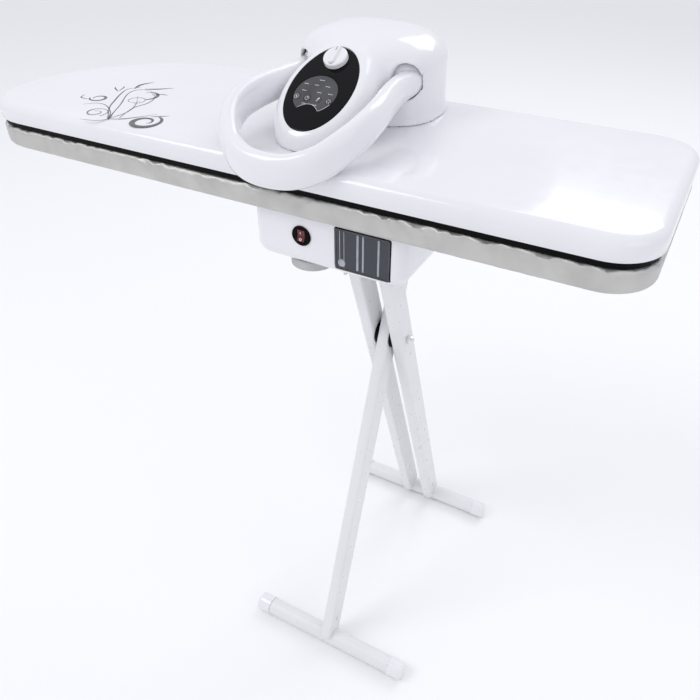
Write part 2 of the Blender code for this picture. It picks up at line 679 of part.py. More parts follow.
def make_hinges(base, head):
    """Two clevis brackets under the board, two arms from the head, their pins and springs."""
    strip_top = WORK_HEIGHT - BOARD_THICKNESS - GAP
    hole = 0.0033
    for side, x in (("left", TOWER_X - 0.070), ("right", TOWER_X + 0.070)):
        bracket = box(x - 0.0085, x + 0.0085, 0.103, 0.160, strip_top - 0.003, strip_top)
        bracket = add_part(f"hinge_bracket_{side}", bracket, "steel", base)
        for cheek, inner, outer in (("cheek_a", -0.0030, -0.0055), ("cheek_b", 0.0030, 0.0055)):
            outline = [(0.1385, strip_top - 0.002), (0.160, strip_top - 0.002)] + hinge_side(0.0095)
            outline += [(0.1385, 0.7165)]
            cheek_plate = hinge_plate(x + min(inner, outer), x + max(inner, outer), outline)
            boolean(bracket, cheek, cheek_plate, "UNION")
        axle = Vector((x - 0.02, HINGE_AXIS.y, HINGE_AXIS.z))
        boolean(bracket, "pin_hole", cylinder(axle, axle + X_AXIS * 0.04, hole, 14))

        outline = [(0.088, SHELL_RIM + 0.0010), (0.125, SHELL_RIM + 0.0010), (0.132, SHELL_RIM - 0.0032)]
        outline += [(0.140, SHELL_RIM - 0.0050)] + hinge_side(0.0085)
        outline += [(0.142, SHELL_RIM + 0.0045), (0.132, SHELL_RIM + 0.0065), (0.088, SHELL_RIM + 0.0110)]
        arm = add_part(f"hinge_arm_{side}", hinge_plate(x - 0.0025, x + 0.0025, outline), "steel", head)
        boolean(arm, "pin_hole", cylinder(axle, axle + X_AXIS * 0.04, hole, 14))

        out = -1 if side == "left" else 1
        wire, coil, turns, per_turn = 0.0009, 0.0052, 4, 10
        path = [Vector((x + out * 0.0078, 0.139, strip_top + 0.008))]
        for i in range(turns * per_turn + 1):
            angle = math.pi + 2 * math.pi * i / per_turn
            along = x + out * (0.0078 + 0.0138 * i / (turns * per_turn))
            path.append(
                Vector((along, HINGE_AXIS.y + coil * math.cos(angle), HINGE_AXIS.z + coil * math.sin(angle)))
            )
        add_part(f"lift_spring_{side}", swept(path, wire, wire, 4, X_AXIS), "steel", base)

    reach, head_length = 0.0945, 0.0020
    rod_profile = [(0, 0.0045), (head_length, 0.0045), (head_length, 0.0030)]
    rod_profile += [(2 * reach - head_length, 0.0030), (2 * reach - head_length, 0.0045), (2 * reach, 0.0045)]
    rod = turned(rod_profile, HINGE_AXIS - X_AXIS * reach, X_AXIS, 14)
    add_part("hinge_rod", rod, "steel", base)

    hose = smooth_path(
        [
            Vector((TOWER_X, HINGE_AXIS.y - 0.0072, HINGE_AXIS.z + 0.0015)),
            Vector((TOWER_X, HINGE_AXIS.y - 0.014, HINGE_AXIS.z + 0.0030)),
            Vector((TOWER_X, 0.122, SHELL_RIM + 0.0050)),
            Vector((TOWER_X, 0.098, SHELL_RIM + 0.0060)),
            Vector((TOWER_X + 0.005, 0.075, SHELL_RIM + 0.0140)),
            Vector((TOWER_X + 0.012, 0.055, SHELL_RIM + 0.0140)),
            Vector((TOWER_X + 0.015, 0.0380, SHELL_RIM + 0.0100)),
        ],
        4,
    )
    add_part("head_hose", swept(hose, 0.0030, 0.0030, 6, X_AXIS), "grey_rubber", head)


# ---------------------------------------------------------------- handle
def handle_path():
    """Middle line of the loop, from the right hub round the front to the left hub.

    Each point is (from the plane of symmetry, y, z, half height of the bar there).
    """
    half = [
        (HUB_OFFSET, HANDLE_AXIS.y, HANDLE_AXIS.z, 0.0135),
        (0.0645, 0.030, HANDLE_AXIS.z, 0.0142),
        (0.0625, 0.008, 0.7865, 0.0155),
        (0.0665, -0.025, 0.7850, 0.0168),
        (0.0730, -0.060, 0.7825, 0.0176),
        (0.0745, -0.090, 0.7780, 0.0178),
        (0.0680, -0.118, 0.7685, 0.0178),
        (0.0510, -0.141, 0.7550, 0.0178),
        (0.0280, -0.1535, 0.7465, 0.0178),
        (0.0, -0.158, 0.7445, 0.0178),
    ]
    right = [Vector((TOWER_X + x, y, z, rise)) for x, y, z, rise in half]
    left = [Vector((TOWER_X - x, y, z, rise)) for x, y, z, rise in reversed(half[:-1])]
    return smooth_path(right + left, 3)


def make_handle(handle_joint):
    path = handle_path()
    middle, heights = [point.xyz for point in path], [point.w for point in path]
    loop = add_part("handle_loop", swept(middle, HANDLE_HALF_WIDTH, heights, 12), "white_gloss", handle_joint)
    for side, name in ((1, "right_hub"), (-1, "left_hub")):
        start = HANDLE_AXIS + X_AXIS * side * (HUB_OFFSET - 0.0120)
        hub = turned([(0, 0.0140), (0.002, 0.0152), (0.020, 0.0152), (0.022, 0.0140)], start, X_AXIS * side, 20)
        boolean(loop, name, hub, "UNION")
        socket = HANDLE_AXIS + X_AXIS * side * (HUB_OFFSET - 0.02)
        boolean(loop, name + "_socket", cylinder(socket, socket + X_AXIS * side * 0.028, 0.0053, 16))
    reach = HUB_OFFSET + 0.0060
    shaft = cylinder(HANDLE_AXIS - X_AXIS * reach, HANDLE_AXIS + X_AXIS * reach, 0.0050, 16)
    add_part("handle_shaft", shaft, "steel", handle_joint)
    cam_profile = [(-0.0105, 0.0), (-0.0085, -0.0085), (0.0, -0.0110), (0.0090, -0.0080), (0.0110, 0.0)]
    cam_profile += [(0.0080, 0.0090), (0.0060, 0.0240), (-0.0060, 0.0240), (-0.0080, 0.0090)]
    rings = []
    for x in (TOWER_X - 0.004, TOWER_X + 0.004):
        rings.append([Vector((x, HANDLE_AXIS.y + y, HANDLE_AXIS.z - z)) for y, z in cam_profile])
    cam = add_part("lock_cam", loft(rings), "steel", handle_joint)
    bore = HANDLE_AXIS - X_AXIS * 0.01
    boolean(cam, "bore", cylinder(bore, bore + X_AXIS * 0.02, 0.0053, 16))


# ---------------------------------------------------------------- folding stand
def leg_frame(top, lean):
    """Matrix of a leg: its own Z runs up along the leg from the pivot at the top."""
    return Matrix.Translation(top) @ Matrix.Rotation(lean, 4, "X")


def leg_tube(top, lean, above, below):
    """Rectangular tube, open at both ends, as wide in X as LEG_WIDTH."""
    half_width, half_depth = LEG_WIDTH / 2, LEG_DEPTH / 2
    outer = rounded_rectangle(-half_width, half_width, -half_depth, half_depth, 0.0035, 2)
    wall = LEG_WALL
    inner = rounded_rectangle(-half_width + wall, half_width - wall, -half_depth + wall, half_depth - wall, 0.002, 2)
    rings = [at_height(inner, -below), at_height(inner, above), at_height(outer, above), at_height(outer, -below)]
    bm = loft(rings, "join")
    bmesh.ops.transform(bm, matrix=leg_frame(top, lean), verts=bm.verts)
    return bm


def foot_bar(name, y, prefix, joint):
    half = FOOT_BAR_LENGTH / 2
    cap_length = 0.022
    start = Vector((STAND_X - half + cap_length, y, FOOT_RADIUS + 0.0010))
    span = FOOT_BAR_LENGTH - 2 * cap_length
    wall = 0.0015
    rings = []
    for radius, along in ((FOOT_RADIUS - wall, span), (FOOT_RADIUS - wall, 0), (FOOT_RADIUS, 0), (FOOT_RADIUS, span)):
        rings.append(
            [
                start + Vector((along, radius * math.cos(2 * math.pi * i / 24), radius * math.sin(2 * math.pi * i / 24)))
                for i in range(24)
            ]
        )
    add_part(name, loft(rings, "join"), "white_paint", joint)
    for side, word in ((-1, "left"), (1, "right")):
        mouth = Vector((STAND_X + side * (half - cap_length), y, FOOT_RADIUS + 0.0010))
        profile = [(-0.012, 0.0108), (GAP, 0.0108), (GAP, 0.0135), (0.018, 0.0135), (0.0215, 0.0118), (0.022, 0.0095)]
        cap = turned(profile, mouth, X_AXIS * side, 24)
        add_part(f"{prefix}_end_cap_{word}", cap, "white_gloss", joint)


def screw(name, place, direction, joint, held, radius=0.0030):
    """A small round-headed screw, and its hole in the tube that holds it."""
    start = place - direction * 0.006
    boolean(held, "screw_hole", cylinder(start, start + direction * 0.010, radius * 0.55 + GAP, 8))
    profile = [(-0.0012, radius * 0.55), (0.0, radius * 0.55), (0.0, radius), (0.0010, radius), (0.0018, radius * 0.6)]
    add_part(name, turned(profile, place, direction, 12), "chrome", joint)


def make_stand_bracket(base):
    """Plate under the housing: side cheeks for the outer rails, slotted fins for the inner leg."""
    top = HOUSING_BOTTOM - GAP
    fin_in, fin_out = 0.0086, 0.0112
    cheek_in, cheek_out = 0.0290, 0.0320
    bracket = box(STAND_X - cheek_out, STAND_X + cheek_out, -0.066, 0.054, top - 0.003, top)
    bracket = add_part("stand_bracket", bracket, "white_paint", base)
    for side in (-1, 1):
        x0, x1 = sorted((STAND_X + side * fin_in, STAND_X + side * fin_out))
        fin = box(x0, x1, -0.052, 0.053, TOP_PIVOT_HEIGHT - 0.009, top - 0.002)
        boolean(bracket, f"fin_{side}", fin, "UNION")
        x0, x1 = sorted((STAND_X + side * cheek_in, STAND_X + side * cheek_out))
        cheek = box(x0, x1, TOP_PIVOT_Y - 0.016, TOP_PIVOT_Y + 0.016, TOP_PIVOT_HEIGHT - 0.013, top - 0.002)
        boolean(bracket, f"cheek_{side}", cheek, "UNION")
    play, pin = 0.0004, 0.0040
    slot = box(
        STAND_X - 0.015, STAND_X + 0.015, TOP_PIVOT_Y + 0.004, -TOP_PIVOT_Y + pin + play,
        TOP_PIVOT_HEIGHT - pin - play, TOP_PIVOT_HEIGHT + pin + play,
    )
    boolean(bracket, "slot", slot)
    for side, name in ((-1, "left_hole"), (1, "right_hole")):
        start = Vector((STAND_X + side * 0.024, TOP_PIVOT_Y, TOP_PIVOT_HEIGHT))
        boolean(bracket, name, cylinder(start, start + X_AXIS * side * 0.012, 0.0033, 14))


def make_outer_rails(rail_joint):
    top = Vector((STAND_X, TOP_PIVOT_Y, TOP_PIVOT_HEIGHT))
    foot = Vector((STAND_X, FOOT_Y, FOOT_RADIUS + 0.0010))
    below = (top - foot).length - FOOT_RADIUS * 0.5
    down = (foot - top).normalized()
    cross = Vector((STAND_X, 0, CROSS_HEIGHT))
    for side, word in ((-1, "left"), (1, "right")):
        offset = X_AXIS * side * RAIL_OFFSET
        rail = add_part(f"outer_rail_{word}", leg_tube(top + offset, LEG_LEAN, 0.012, below), "white_paint", rail_joint)
        reach = X_AXIS * 0.02
        for name, point in (("top_hole", top), ("cross_hole", cross)):
            boolean(rail, name, cylinder(point + offset - reach, point + offset + reach, 0.0033, 14))
        saddle = foot + offset
        boolean(rail, "saddle", cylinder(saddle - reach, saddle + reach, FOOT_RADIUS + GAP, 24))
        face = top + X_AXIS * side * 0.0322
        profile = [(-0.0203, 0.0030), (0.0, 0.0030), (0.0, 0.0060), (0.0024, 0.0056), (0.0036, 0.0040)]
        add_part(f"rail_pivot_bolt_{word}", turned(profile, face, X_AXIS * side, 14), "steel", rail_joint)
    near = foot - down * 0.035 + X_AXIS * (RAIL_OFFSET + LEG_WIDTH / 2 + GAP)
    screw("rail_screw", near, X_AXIS, rail_joint, rail)
    foot_bar("rear_foot_bar", FOOT_Y, "rear", rail_joint)

    half = RAIL_OFFSET + LEG_WIDTH / 2
    bolt_profile = [(-0.0035, 0.0040), (-0.0028, 0.0062), (0.0, 0.0065), (0.0, 0.0030), (2 * half + 0.0055, 0.0030)]
    bolt = turned(bolt_profile, cross - X_AXIS * (half + GAP), X_AXIS, 14)
    add_part("cross_bolt", bolt, "chrome", rail_joint)
    nut_profile = [(0, 0.0060), (0.0035, 0.0060), (0.0042, 0.0048), (0.0068, 0.0042), (0.0086, 0.0026)]
    nut = add_part("cross_nut", turned(nut_profile, cross + X_AXIS * (half + GAP), X_AXIS, 12), "chrome", rail_joint)
    socket = cross + X_AXIS * (half - 0.002)
    boolean(nut, "thread", cylinder(socket, socket + X_AXIS * 0.0080, 0.0033, 12))


def make_inner_leg(leg_joint):
    top = Vector((STAND_X, -TOP_PIVOT_Y, TOP_PIVOT_HEIGHT))
    foot = Vector((STAND_X, -FOOT_Y, FOOT_RADIUS + 0.0010))
    below = (top - foot).length - FOOT_RADIUS * 0.5
    cross = Vector((STAND_X, 0, CROSS_HEIGHT))
    leg = add_part("inner_leg", leg_tube(top, -LEG_LEAN, 0.008, below), "white_paint", leg_joint)
    reach = X_AXIS * 0.02
    for name, point in (("top_hole", top), ("cross_hole", cross)):
        radius = 0.0043 if name == "top_hole" else 0.0033
        boolean(leg, name, cylinder(point - reach, point + reach, radius, 16))
    boolean(leg, "saddle", cylinder(foot - reach, foot + reach, FOOT_RADIUS + GAP, 24))
    pin = cylinder(top - X_AXIS * 0.0108, top + X_AXIS * 0.0108, 0.0040, 16)
    add_part("slider_pin", pin, "steel", leg_joint)
    down = (foot - top).normalized()
    screw("leg_screw", foot - down * 0.035 + X_AXIS * (LEG_WIDTH / 2 + GAP), X_AXIS, leg_joint, leg)
    foot_bar("front_foot_bar", -FOOT_Y, "front", leg_joint)
    thick = RAIL_OFFSET - LEG_WIDTH - 2 * GAP
    for side, word in ((-1, "left"), (1, "right")):
        face = cross + X_AXIS * side * (LEG_WIDTH / 2 + GAP)
        spacer = add_part(
            f"pivot_spacer_{word}", turned([(0, 0.0170), (thick, 0.0170)], face, X_AXIS * side, 24),
            "black_plastic", leg_joint,
        )
        boolean(spacer, "bore", cylinder(face - X_AXIS * 0.01, face + X_AXIS * 0.01, 0.0033, 14))


def main():
    clear_scene()
    base = joint_empty("base_frame", Vector((0, 0, 0)))
    head = joint_empty("head_hinge", HINGE_AXIS, base)
    handle_joint = joint_empty("handle_pivot", HANDLE_AXIS, head)
    knob_joint = joint_empty("knob_axis", on_panel(*KNOB_PLACE), head)
    button_joints = [
        joint_empty(f"button_{i}_guide", on_panel(u, BUTTON_ROW), head) for i, u in enumerate(BUTTON_PLACES, 1)
    ]
    rocker_joint = joint_empty("rocker_pivot", SWITCH_CENTRE + Y_AXIS * 0.002, base)
    tank_joint = joint_empty("tank_slide", Vector((TANK_LEFT, HOUSING_FRONT, TANK_BOTTOM)), base)
    rail_joint = joint_empty("rail_pivot", Vector((STAND_X, TOP_PIVOT_Y, TOP_PIVOT_HEIGHT)), base)
    leg_joint = joint_empty("cross_pivot", Vector((STAND_X, 0, CROSS_HEIGHT)), rail_joint)

    make_board(base)
    make_housing(base)
    make_water_system(base)
    make_switch(base, rocker_joint)
    make_tank(tank_joint)
    make_shell(head)
    make_tower(head)
    make_panel(head, knob_joint, button_joints)
    make_heated_plate(head)
    make_hinges(base, head)
    make_handle(handle_joint)
    make_stand_bracket(base)
    make_outer_rails(rail_joint)
    make_inner_leg(leg_joint)


main()
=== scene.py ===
"""Looks of the flat steam ironing press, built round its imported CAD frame.

Metres, +Z up, the floor at z = 0. +X runs along the board to its square end, -Y is the user's side.
"""

import json
import math

import bmesh
import bpy
import numpy as np
from mathutils import Matrix, Vector, noise


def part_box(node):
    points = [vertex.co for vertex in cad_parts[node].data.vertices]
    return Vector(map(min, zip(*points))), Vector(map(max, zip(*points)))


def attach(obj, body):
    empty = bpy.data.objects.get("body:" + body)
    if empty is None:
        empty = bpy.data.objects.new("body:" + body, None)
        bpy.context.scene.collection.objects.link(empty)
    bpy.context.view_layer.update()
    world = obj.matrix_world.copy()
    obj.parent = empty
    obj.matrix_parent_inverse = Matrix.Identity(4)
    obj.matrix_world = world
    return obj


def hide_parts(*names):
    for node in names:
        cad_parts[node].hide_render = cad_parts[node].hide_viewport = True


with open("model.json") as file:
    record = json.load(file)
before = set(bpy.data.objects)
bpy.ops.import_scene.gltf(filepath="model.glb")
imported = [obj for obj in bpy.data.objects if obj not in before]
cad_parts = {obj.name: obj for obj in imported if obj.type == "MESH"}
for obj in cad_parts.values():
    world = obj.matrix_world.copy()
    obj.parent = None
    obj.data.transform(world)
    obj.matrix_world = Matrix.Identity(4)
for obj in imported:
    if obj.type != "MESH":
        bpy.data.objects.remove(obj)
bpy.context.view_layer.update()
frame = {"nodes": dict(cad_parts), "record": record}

X_AXIS, Y_AXIS, Z_AXIS = Vector((1, 0, 0)), Vector((0, 1, 0)), Vector((0, 0, 1))

# ---------------------------------------------------------------- sizes, read from the frame
HEAD_LOW, HEAD_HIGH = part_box("head_cover")
BOARD_LOW, BOARD_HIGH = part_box("ironing_cover")
TOWER_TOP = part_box("tower_cover")[1].z
HOUSING_LOW, HOUSING_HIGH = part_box("base_housing")
TANK_LOW, TANK_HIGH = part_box("water_tank")
BEZEL_LOW, BEZEL_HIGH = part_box("switch_bezel")

HALF_LENGTH, HALF_DEPTH, CORNER_RADIUS = 0.405, 0.136, 0.048
SHELL_RIM, SHELL_TOP = HEAD_LOW.z, HEAD_HIGH.z
TOWER_X = 0.041
PANEL_CENTRE, PANEL_TILT = Vector((TOWER_X, -0.050, 0.793)), math.radians(31.8)
PANEL_UP = Vector((0, math.cos(PANEL_TILT), math.sin(PANEL_TILT)))
PANEL_NORMAL = Vector((0, -math.sin(PANEL_TILT), math.cos(PANEL_TILT)))
PANEL_HALF_WIDTH, PANEL_HALF_LENGTH = 0.0366, 0.0555
HANDLE_AXIS = Vector((TOWER_X, 0.050, 0.787))
HUB_OFFSET, HANDLE_HALF_WIDTH, HANDLE_POWER = 0.0670, 0.0105, 2.3
HANDLE_SWING = math.radians(12)
# The round boss at each root of the handle, which fills the cover's slot: offset in x, radius.
DRUM_OFFSETS = (0.0470, 0.0540, 0.0600, 0.0660, 0.0710, 0.0755)
DRUM_RADII = (0.0350, 0.0335, 0.0303, 0.0260, 0.0211, 0.0150)
# The handle's middle line: from the plane of symmetry, y, z, half height of the bar.
HANDLE_LINE = [
    (HUB_OFFSET, 0.050, 0.7870, 0.0135),
    (0.0645, 0.030, 0.7870, 0.0142),
    (0.0625, 0.008, 0.7865, 0.0155),
    (0.0665, -0.025, 0.7850, 0.0168),
    (0.0730, -0.060, 0.7825, 0.0176),
    (0.0745, -0.090, 0.7780, 0.0178),
    (0.0680, -0.118, 0.7685, 0.0178),
    (0.0510, -0.141, 0.7550, 0.0178),
    (0.0280, -0.1535, 0.7465, 0.0178),
    (0.0, -0.158, 0.7445, 0.0178),
]


# ---------------------------------------------------------------- materials
class Look:
    """A Principled material whose roughness, colour and relief come from nodes."""

    def __init__(self, name, colour, roughness, metallic=0.0, coat=0.0):
        self.material = bpy.data.materials.new(name)
        self.material.use_nodes = True
        self.tree = self.material.node_tree
        self.shader = self.tree.nodes["Principled BSDF"]
        self.colour = (*colour, 1)
        self.shader.inputs["Base Color"].default_value = self.colour
        self.shader.inputs["Roughness"].default_value = roughness
        self.shader.inputs["Metallic"].default_value = metallic
        self.shader.inputs["Coat Weight"].default_value = coat
        self.shader.inputs["Coat Roughness"].default_value = 0.06
        self.place = self.node("ShaderNodeTexCoord").outputs["Object"]

    def node(self, kind, **settings):
        """A new node, with each setting given to the input or the property of that name."""
        made = self.tree.nodes.new(kind)
        for key, value in settings.items():
            if key in made.inputs:
                made.inputs[key].default_value = value
            else:
                setattr(made, key, value)
        return made

    def link(self, start, end):
        self.tree.links.new(start, end)

    def noise(self, scale, detail, stretch):
        """Noise in the object's own coordinates."""
        mapping = self.node("ShaderNodeMapping")
        mapping.inputs["Scale"].default_value = stretch
        texture = self.node("ShaderNodeTexNoise", Scale=scale, Detail=detail)
        self.link(self.place, mapping.inputs["Vector"])
        self.link(mapping.outputs["Vector"], texture.inputs["Vector"])
        return texture.outputs["Fac"]

    def spread(self, value, low, high):
        """Stretches the middle of a noise to run between two values."""
        ranged = self.node("ShaderNodeMapRange")
        ranged.inputs["From Min"].default_value = 0.3
        ranged.inputs["From Max"].default_value = 0.7
        ranged.inputs["To Min"].default_value = low
        ranged.inputs["To Max"].default_value = high
        self.link(value, ranged.inputs["Value"])
        return ranged.outputs["Result"]

    def vary_roughness(self, scale, low, high, stretch=(1, 1, 1)):
        self.link(self.spread(self.noise(scale, 3.0, stretch), low, high), self.shader.inputs["Roughness"])
        return self

    def vary_colour(self, scale, other, stretch=(1, 1, 1)):
        mix = self.node("ShaderNodeMix", data_type="RGBA")
        mix.inputs["A"].default_value = self.colour
        mix.inputs["B"].default_value = (*other, 1)
        self.link(self.spread(self.noise(scale, 4.0, stretch), 0.0, 1.0), mix.inputs["Factor"])
        self.link(mix.outputs["Result"], self.shader.inputs["Base Color"])
        return self

    def relief(self, height, strength, distance):
        """Adds a bump on top of the ones there are."""
        bump = self.node("ShaderNodeBump", Strength=strength, Distance=distance)
        self.link(height, bump.inputs["Height"])
        before = self.shader.inputs["Normal"].links
        if before:
            self.link(before[0].from_socket, bump.inputs["Normal"])
        self.link(bump.outputs["Normal"], self.shader.inputs["Normal"])
        return self

    def grain(self, scale, strength, distance=0.0001, stretch=(1, 1, 1)):
        return self.relief(self.noise(scale, 2.0, stretch), strength, distance)


def weave(look, pitch, strength):
    """Crossing threads of a plain weave, one along X and one round the board's depth and height."""
    waves = []
    for direction in ("X", "Y", "Z"):
        wave = look.node("ShaderNodeTexWave", wave_type="BANDS", bands_direction=direction)
        wave.inputs["Scale"].default_value = 0.314 / pitch
        wave.inputs["Distortion"].default_value = 0.6
        look.link(look.place, wave.inputs["Vector"])
        waves.append(wave.outputs["Fac"])
    total = waves[0]
    for other in waves[1:]:
        product = look.node("ShaderNodeMath", operation="MAXIMUM")
        look.link(total, product.inputs[0])
        look.link(other, product.inputs[1])
        total = product.outputs[0]
    return look.relief(total, strength, pitch * 0.25)


def make_looks():
    """Every finish of the press, by the name of its slot."""
    white = Look("white_gloss_plastic", (0.83, 0.83, 0.85), 0.16, coat=0.35)
    white.vary_roughness(60, 0.11, 0.20).vary_colour(9, (0.80, 0.80, 0.825)).grain(1400, 0.05, 0.00008)
    paint = Look("white_powder_paint", (0.80, 0.80, 0.81), 0.34)
    paint.vary_roughness(90, 0.26, 0.40).vary_colour(14, (0.765, 0.765, 0.775)).grain(700, 0.05, 0.0001)
    silver = Look("silver_metallised_cloth", (0.50, 0.495, 0.475), 0.42, metallic=0.55)
    silver.vary_roughness(120, 0.33, 0.52).vary_colour(30, (0.60, 0.595, 0.57))
    weave(silver, 0.0009, 0.35).grain(70, 0.35, 0.0012, (1, 1, 2.2))
    black = Look("black_acrylic", (0.0015, 0.0015, 0.002), 0.05)
    black.shader.inputs["Specular IOR Level"].default_value = 0.16
    black.vary_roughness(220, 0.04, 0.09).grain(900, 0.02, 0.00005)
    matt = Look("black_moulded_plastic", (0.002, 0.002, 0.0022), 0.50)
    matt.shader.inputs["Specular IOR Level"].default_value = 0.06
    matt.vary_roughness(300, 0.36, 0.55).vary_colour(60, (0.004, 0.004, 0.0045)).grain(1800, 0.2, 0.0001)
    smoke = Look("smoked_display", (0.045, 0.045, 0.048), 0.12)
    smoke.vary_roughness(200, 0.07, 0.13).vary_colour(40, (0.075, 0.075, 0.080)).grain(1500, 0.03, 0.00005)
    tank = Look("smoked_tank", (0.035, 0.042, 0.056), 0.10, coat=0.25)
    tank.shader.inputs["Transmission Weight"].default_value = 0.25
    tank.shader.inputs["IOR"].default_value = 1.49
    tank.vary_roughness(80, 0.07, 0.16).grain(500, 0.04, 0.0001)
    rib = Look("tank_rib", (0.42, 0.44, 0.48), 0.20, coat=0.3)
    rib.vary_roughness(150, 0.10, 0.22).vary_colour(80, (0.28, 0.30, 0.35)).grain(700, 0.06)
    red = Look("red_translucent_rocker", (0.14, 0.001, 0.005), 0.22, coat=0.2)
    red.vary_roughness(300, 0.12, 0.26).vary_colour(250, (0.08, 0.001, 0.003)).grain(1800, 0.08)
    steel = Look("turned_steel", (0.50, 0.50, 0.51), 0.28, metallic=1.0)
    steel.vary_roughness(400, 0.20, 0.38, (6, 1, 1)).vary_colour(60, (0.42, 0.42, 0.43))
    steel.grain(900, 0.12, 0.0001, (5, 1, 1))
    chrome = Look("chrome_plate", (0.78, 0.78, 0.79), 0.07, metallic=1.0)
    chrome.vary_roughness(500, 0.05, 0.13).grain(1200, 0.03, 0.00005)
    cast = Look("cast_aluminium", (0.58, 0.585, 0.59), 0.34, metallic=1.0)
    cast.vary_roughness(90, 0.27, 0.44, (1, 9, 1)).vary_colour(25, (0.50, 0.50, 0.51))
    cast.grain(1100, 0.22, 0.00012, (1, 12, 1))
    brass = Look("brass_fitting", (0.66, 0.46, 0.18), 0.28, metallic=1.0)
    brass.vary_roughness(400, 0.20, 0.38).vary_colour(120, (0.52, 0.35, 0.14)).grain(1500, 0.10)
    rubber = Look("grey_rubber", (0.50, 0.50, 0.50), 0.62)
    rubber.vary_roughness(400, 0.58, 0.80).vary_colour(90, (0.44, 0.44, 0.445)).grain(2600, 0.30)
    dark_rubber = Look("black_rubber", (0.020, 0.020, 0.020), 0.72)
    dark_rubber.vary_roughness(400, 0.60, 0.82).vary_colour(90, (0.030, 0.030, 0.030)).grain(2600, 0.30)
    felt = Look("felt", (0.55, 0.50, 0.42), 0.95)
    felt.vary_roughness(300, 0.88, 1.0).vary_colour(300, (0.46, 0.42, 0.35)).grain(1600, 0.8, 0.0006)
    green = Look("circuit_board", (0.010, 0.090, 0.040), 0.45)
    green.vary_roughness(300, 0.35, 0.55).vary_colour(700, (0.02, 0.14, 0.06)).grain(900, 0.2)
    ink = Look("grey_print", (0.085, 0.085, 0.090), 0.38)
    ink.vary_roughness(400, 0.30, 0.46).vary_colour(90, (0.13, 0.13, 0.135)).grain(1800, 0.06)
    # White print with a faint white emission added: a painted glow, since the print is no lamp.
    mark = Look("white_print_painted_glow", (0.66, 0.66, 0.66), 0.35)
    mark.shader.inputs["Emission Color"].default_value = (1, 1, 1, 1)
    mark.shader.inputs["Emission Strength"].default_value = 0.10
    mark.vary_roughness(600, 0.30, 0.45).vary_colour(500, (0.50, 0.50, 0.50)).grain(1800, 0.06)
    return {
        "white_gloss": white, "white_paint": paint, "silver_cloth": silver, "black_gloss": black,
        "black_plastic": matt, "smoke_grey": smoke, "smoke_clear": tank, "rib": rib, "red_plastic": red,
        "steel": steel, "bright_chrome": chrome, "cast_aluminium": cast, "brass": brass,
        "grey_rubber": rubber, "black_rubber": dark_rubber, "felt": felt, "circuit_green": green,
        "ink": ink, "mark": mark,
    }


LOOKS = make_looks()


# ---------------------------------------------------------------- shapes
def add_piece(name, bm, look, body, smooth_angle=35):
    """The object of one piece, its points in the row frame, riding on a CAD body."""
    mesh = bpy.data.meshes.new(name)
    bm.to_mesh(mesh)
    bm.free()
    mesh.shade_smooth()
    mesh.set_sharp_from_angle(angle=math.radians(smooth_angle))
    mesh.materials.append(LOOKS[look].material)
    obj = bpy.data.objects.new(name, mesh)
    bpy.context.scene.collection.objects.link(obj)
    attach(obj, body)
    return obj


def cut(obj, bm, operation="DIFFERENCE"):
    """Applies a Boolean with a mesh that is then thrown away."""
    mesh = bpy.data.meshes.new("cutter")
    bm.to_mesh(mesh)
    bm.free()
    cutter = bpy.data.objects.new("cutter", mesh)
    bpy.context.scene.collection.objects.link(cutter)
    modifier = obj.modifiers.new("cut", "BOOLEAN")
    modifier.operation, modifier.solver, modifier.object = operation, "EXACT", cutter
    with bpy.context.temp_override(object=obj, active_object=obj):
        bpy.ops.object.modifier_apply(modifier=modifier.name)
    bpy.data.objects.remove(cutter)
    bpy.data.meshes.remove(mesh)


def arc(centre, radius, start, end, steps):
    """Points of an arc in plan, angles in degrees."""
    angles = [math.radians(start + (end - start) * i / steps) for i in range(steps + 1)]
    return [(centre[0] + radius * math.cos(a), centre[1] + radius * math.sin(a)) for a in angles]


def bezier(p0, p1, p2, p3, steps):
    points = []
    for i in range(steps + 1):
        t = i / steps
        weights = ((1 - t) ** 3, 3 * t * (1 - t) ** 2, 3 * t * t * (1 - t), t**3)
        points.append(tuple(sum(w * p[k] for w, p in zip(weights, (p0, p1, p2, p3))) for k in (0, 1)))
    return points


def evenly(points, count):
    """A closed outline resampled to that many points, the same distance apart."""
    ring = np.array(points + [points[0]])
    along = np.concatenate([[0], np.cumsum(np.linalg.norm(np.diff(ring, axis=0), axis=1))])
    wanted = np.linspace(0, along[-1], count, endpoint=False)
    return np.stack([np.interp(wanted, along, ring[:, k]) for k in (0, 1)], axis=1)


def board_plan(count):
    """Plan of head and board: straight sides, two round right corners, a tapered round left end."""
    right = HALF_LENGTH - CORNER_RADIUS
    nose = (-0.9958 * HALF_LENGTH, -0.28 * HALF_DEPTH)
    points = arc((right, -HALF_DEPTH + CORNER_RADIUS), CORNER_RADIUS, -90, 0, 40)
    points += arc((right, HALF_DEPTH - CORNER_RADIUS), CORNER_RADIUS, 0, 90, 40)
    shoulder = (-0.47 * HALF_LENGTH, HALF_DEPTH)
    points += bezier(
        shoulder, (-0.77 * HALF_LENGTH, HALF_DEPTH), (-0.96 * HALF_LENGTH, 0.24 * HALF_DEPTH), nose, 120
    )
    points += bezier(
        nose,
        (-1.0157 * HALF_LENGTH, -0.68 * HALF_DEPTH),
        (-0.97 * HALF_LENGTH, -HALF_DEPTH),
        (-0.83 * HALF_LENGTH, -HALF_DEPTH),
        90,
    )[1:]
    return evenly(points, count)


def outward(plan):
    """Unit normals of a counter-clockwise outline, smoothed along it."""
    along = np.roll(plan, -2, axis=0) - np.roll(plan, 2, axis=0)
    normal = np.stack([along[:, 1], -along[:, 0]], axis=1)
    return normal / np.linalg.norm(normal, axis=1, keepdims=True)


def inset_ring(plan, inset, z):
    """The plan moved inwards, at a height."""
    points = plan - outward(plan) * inset
    return [Vector((x, y, z)) for x, y in points]


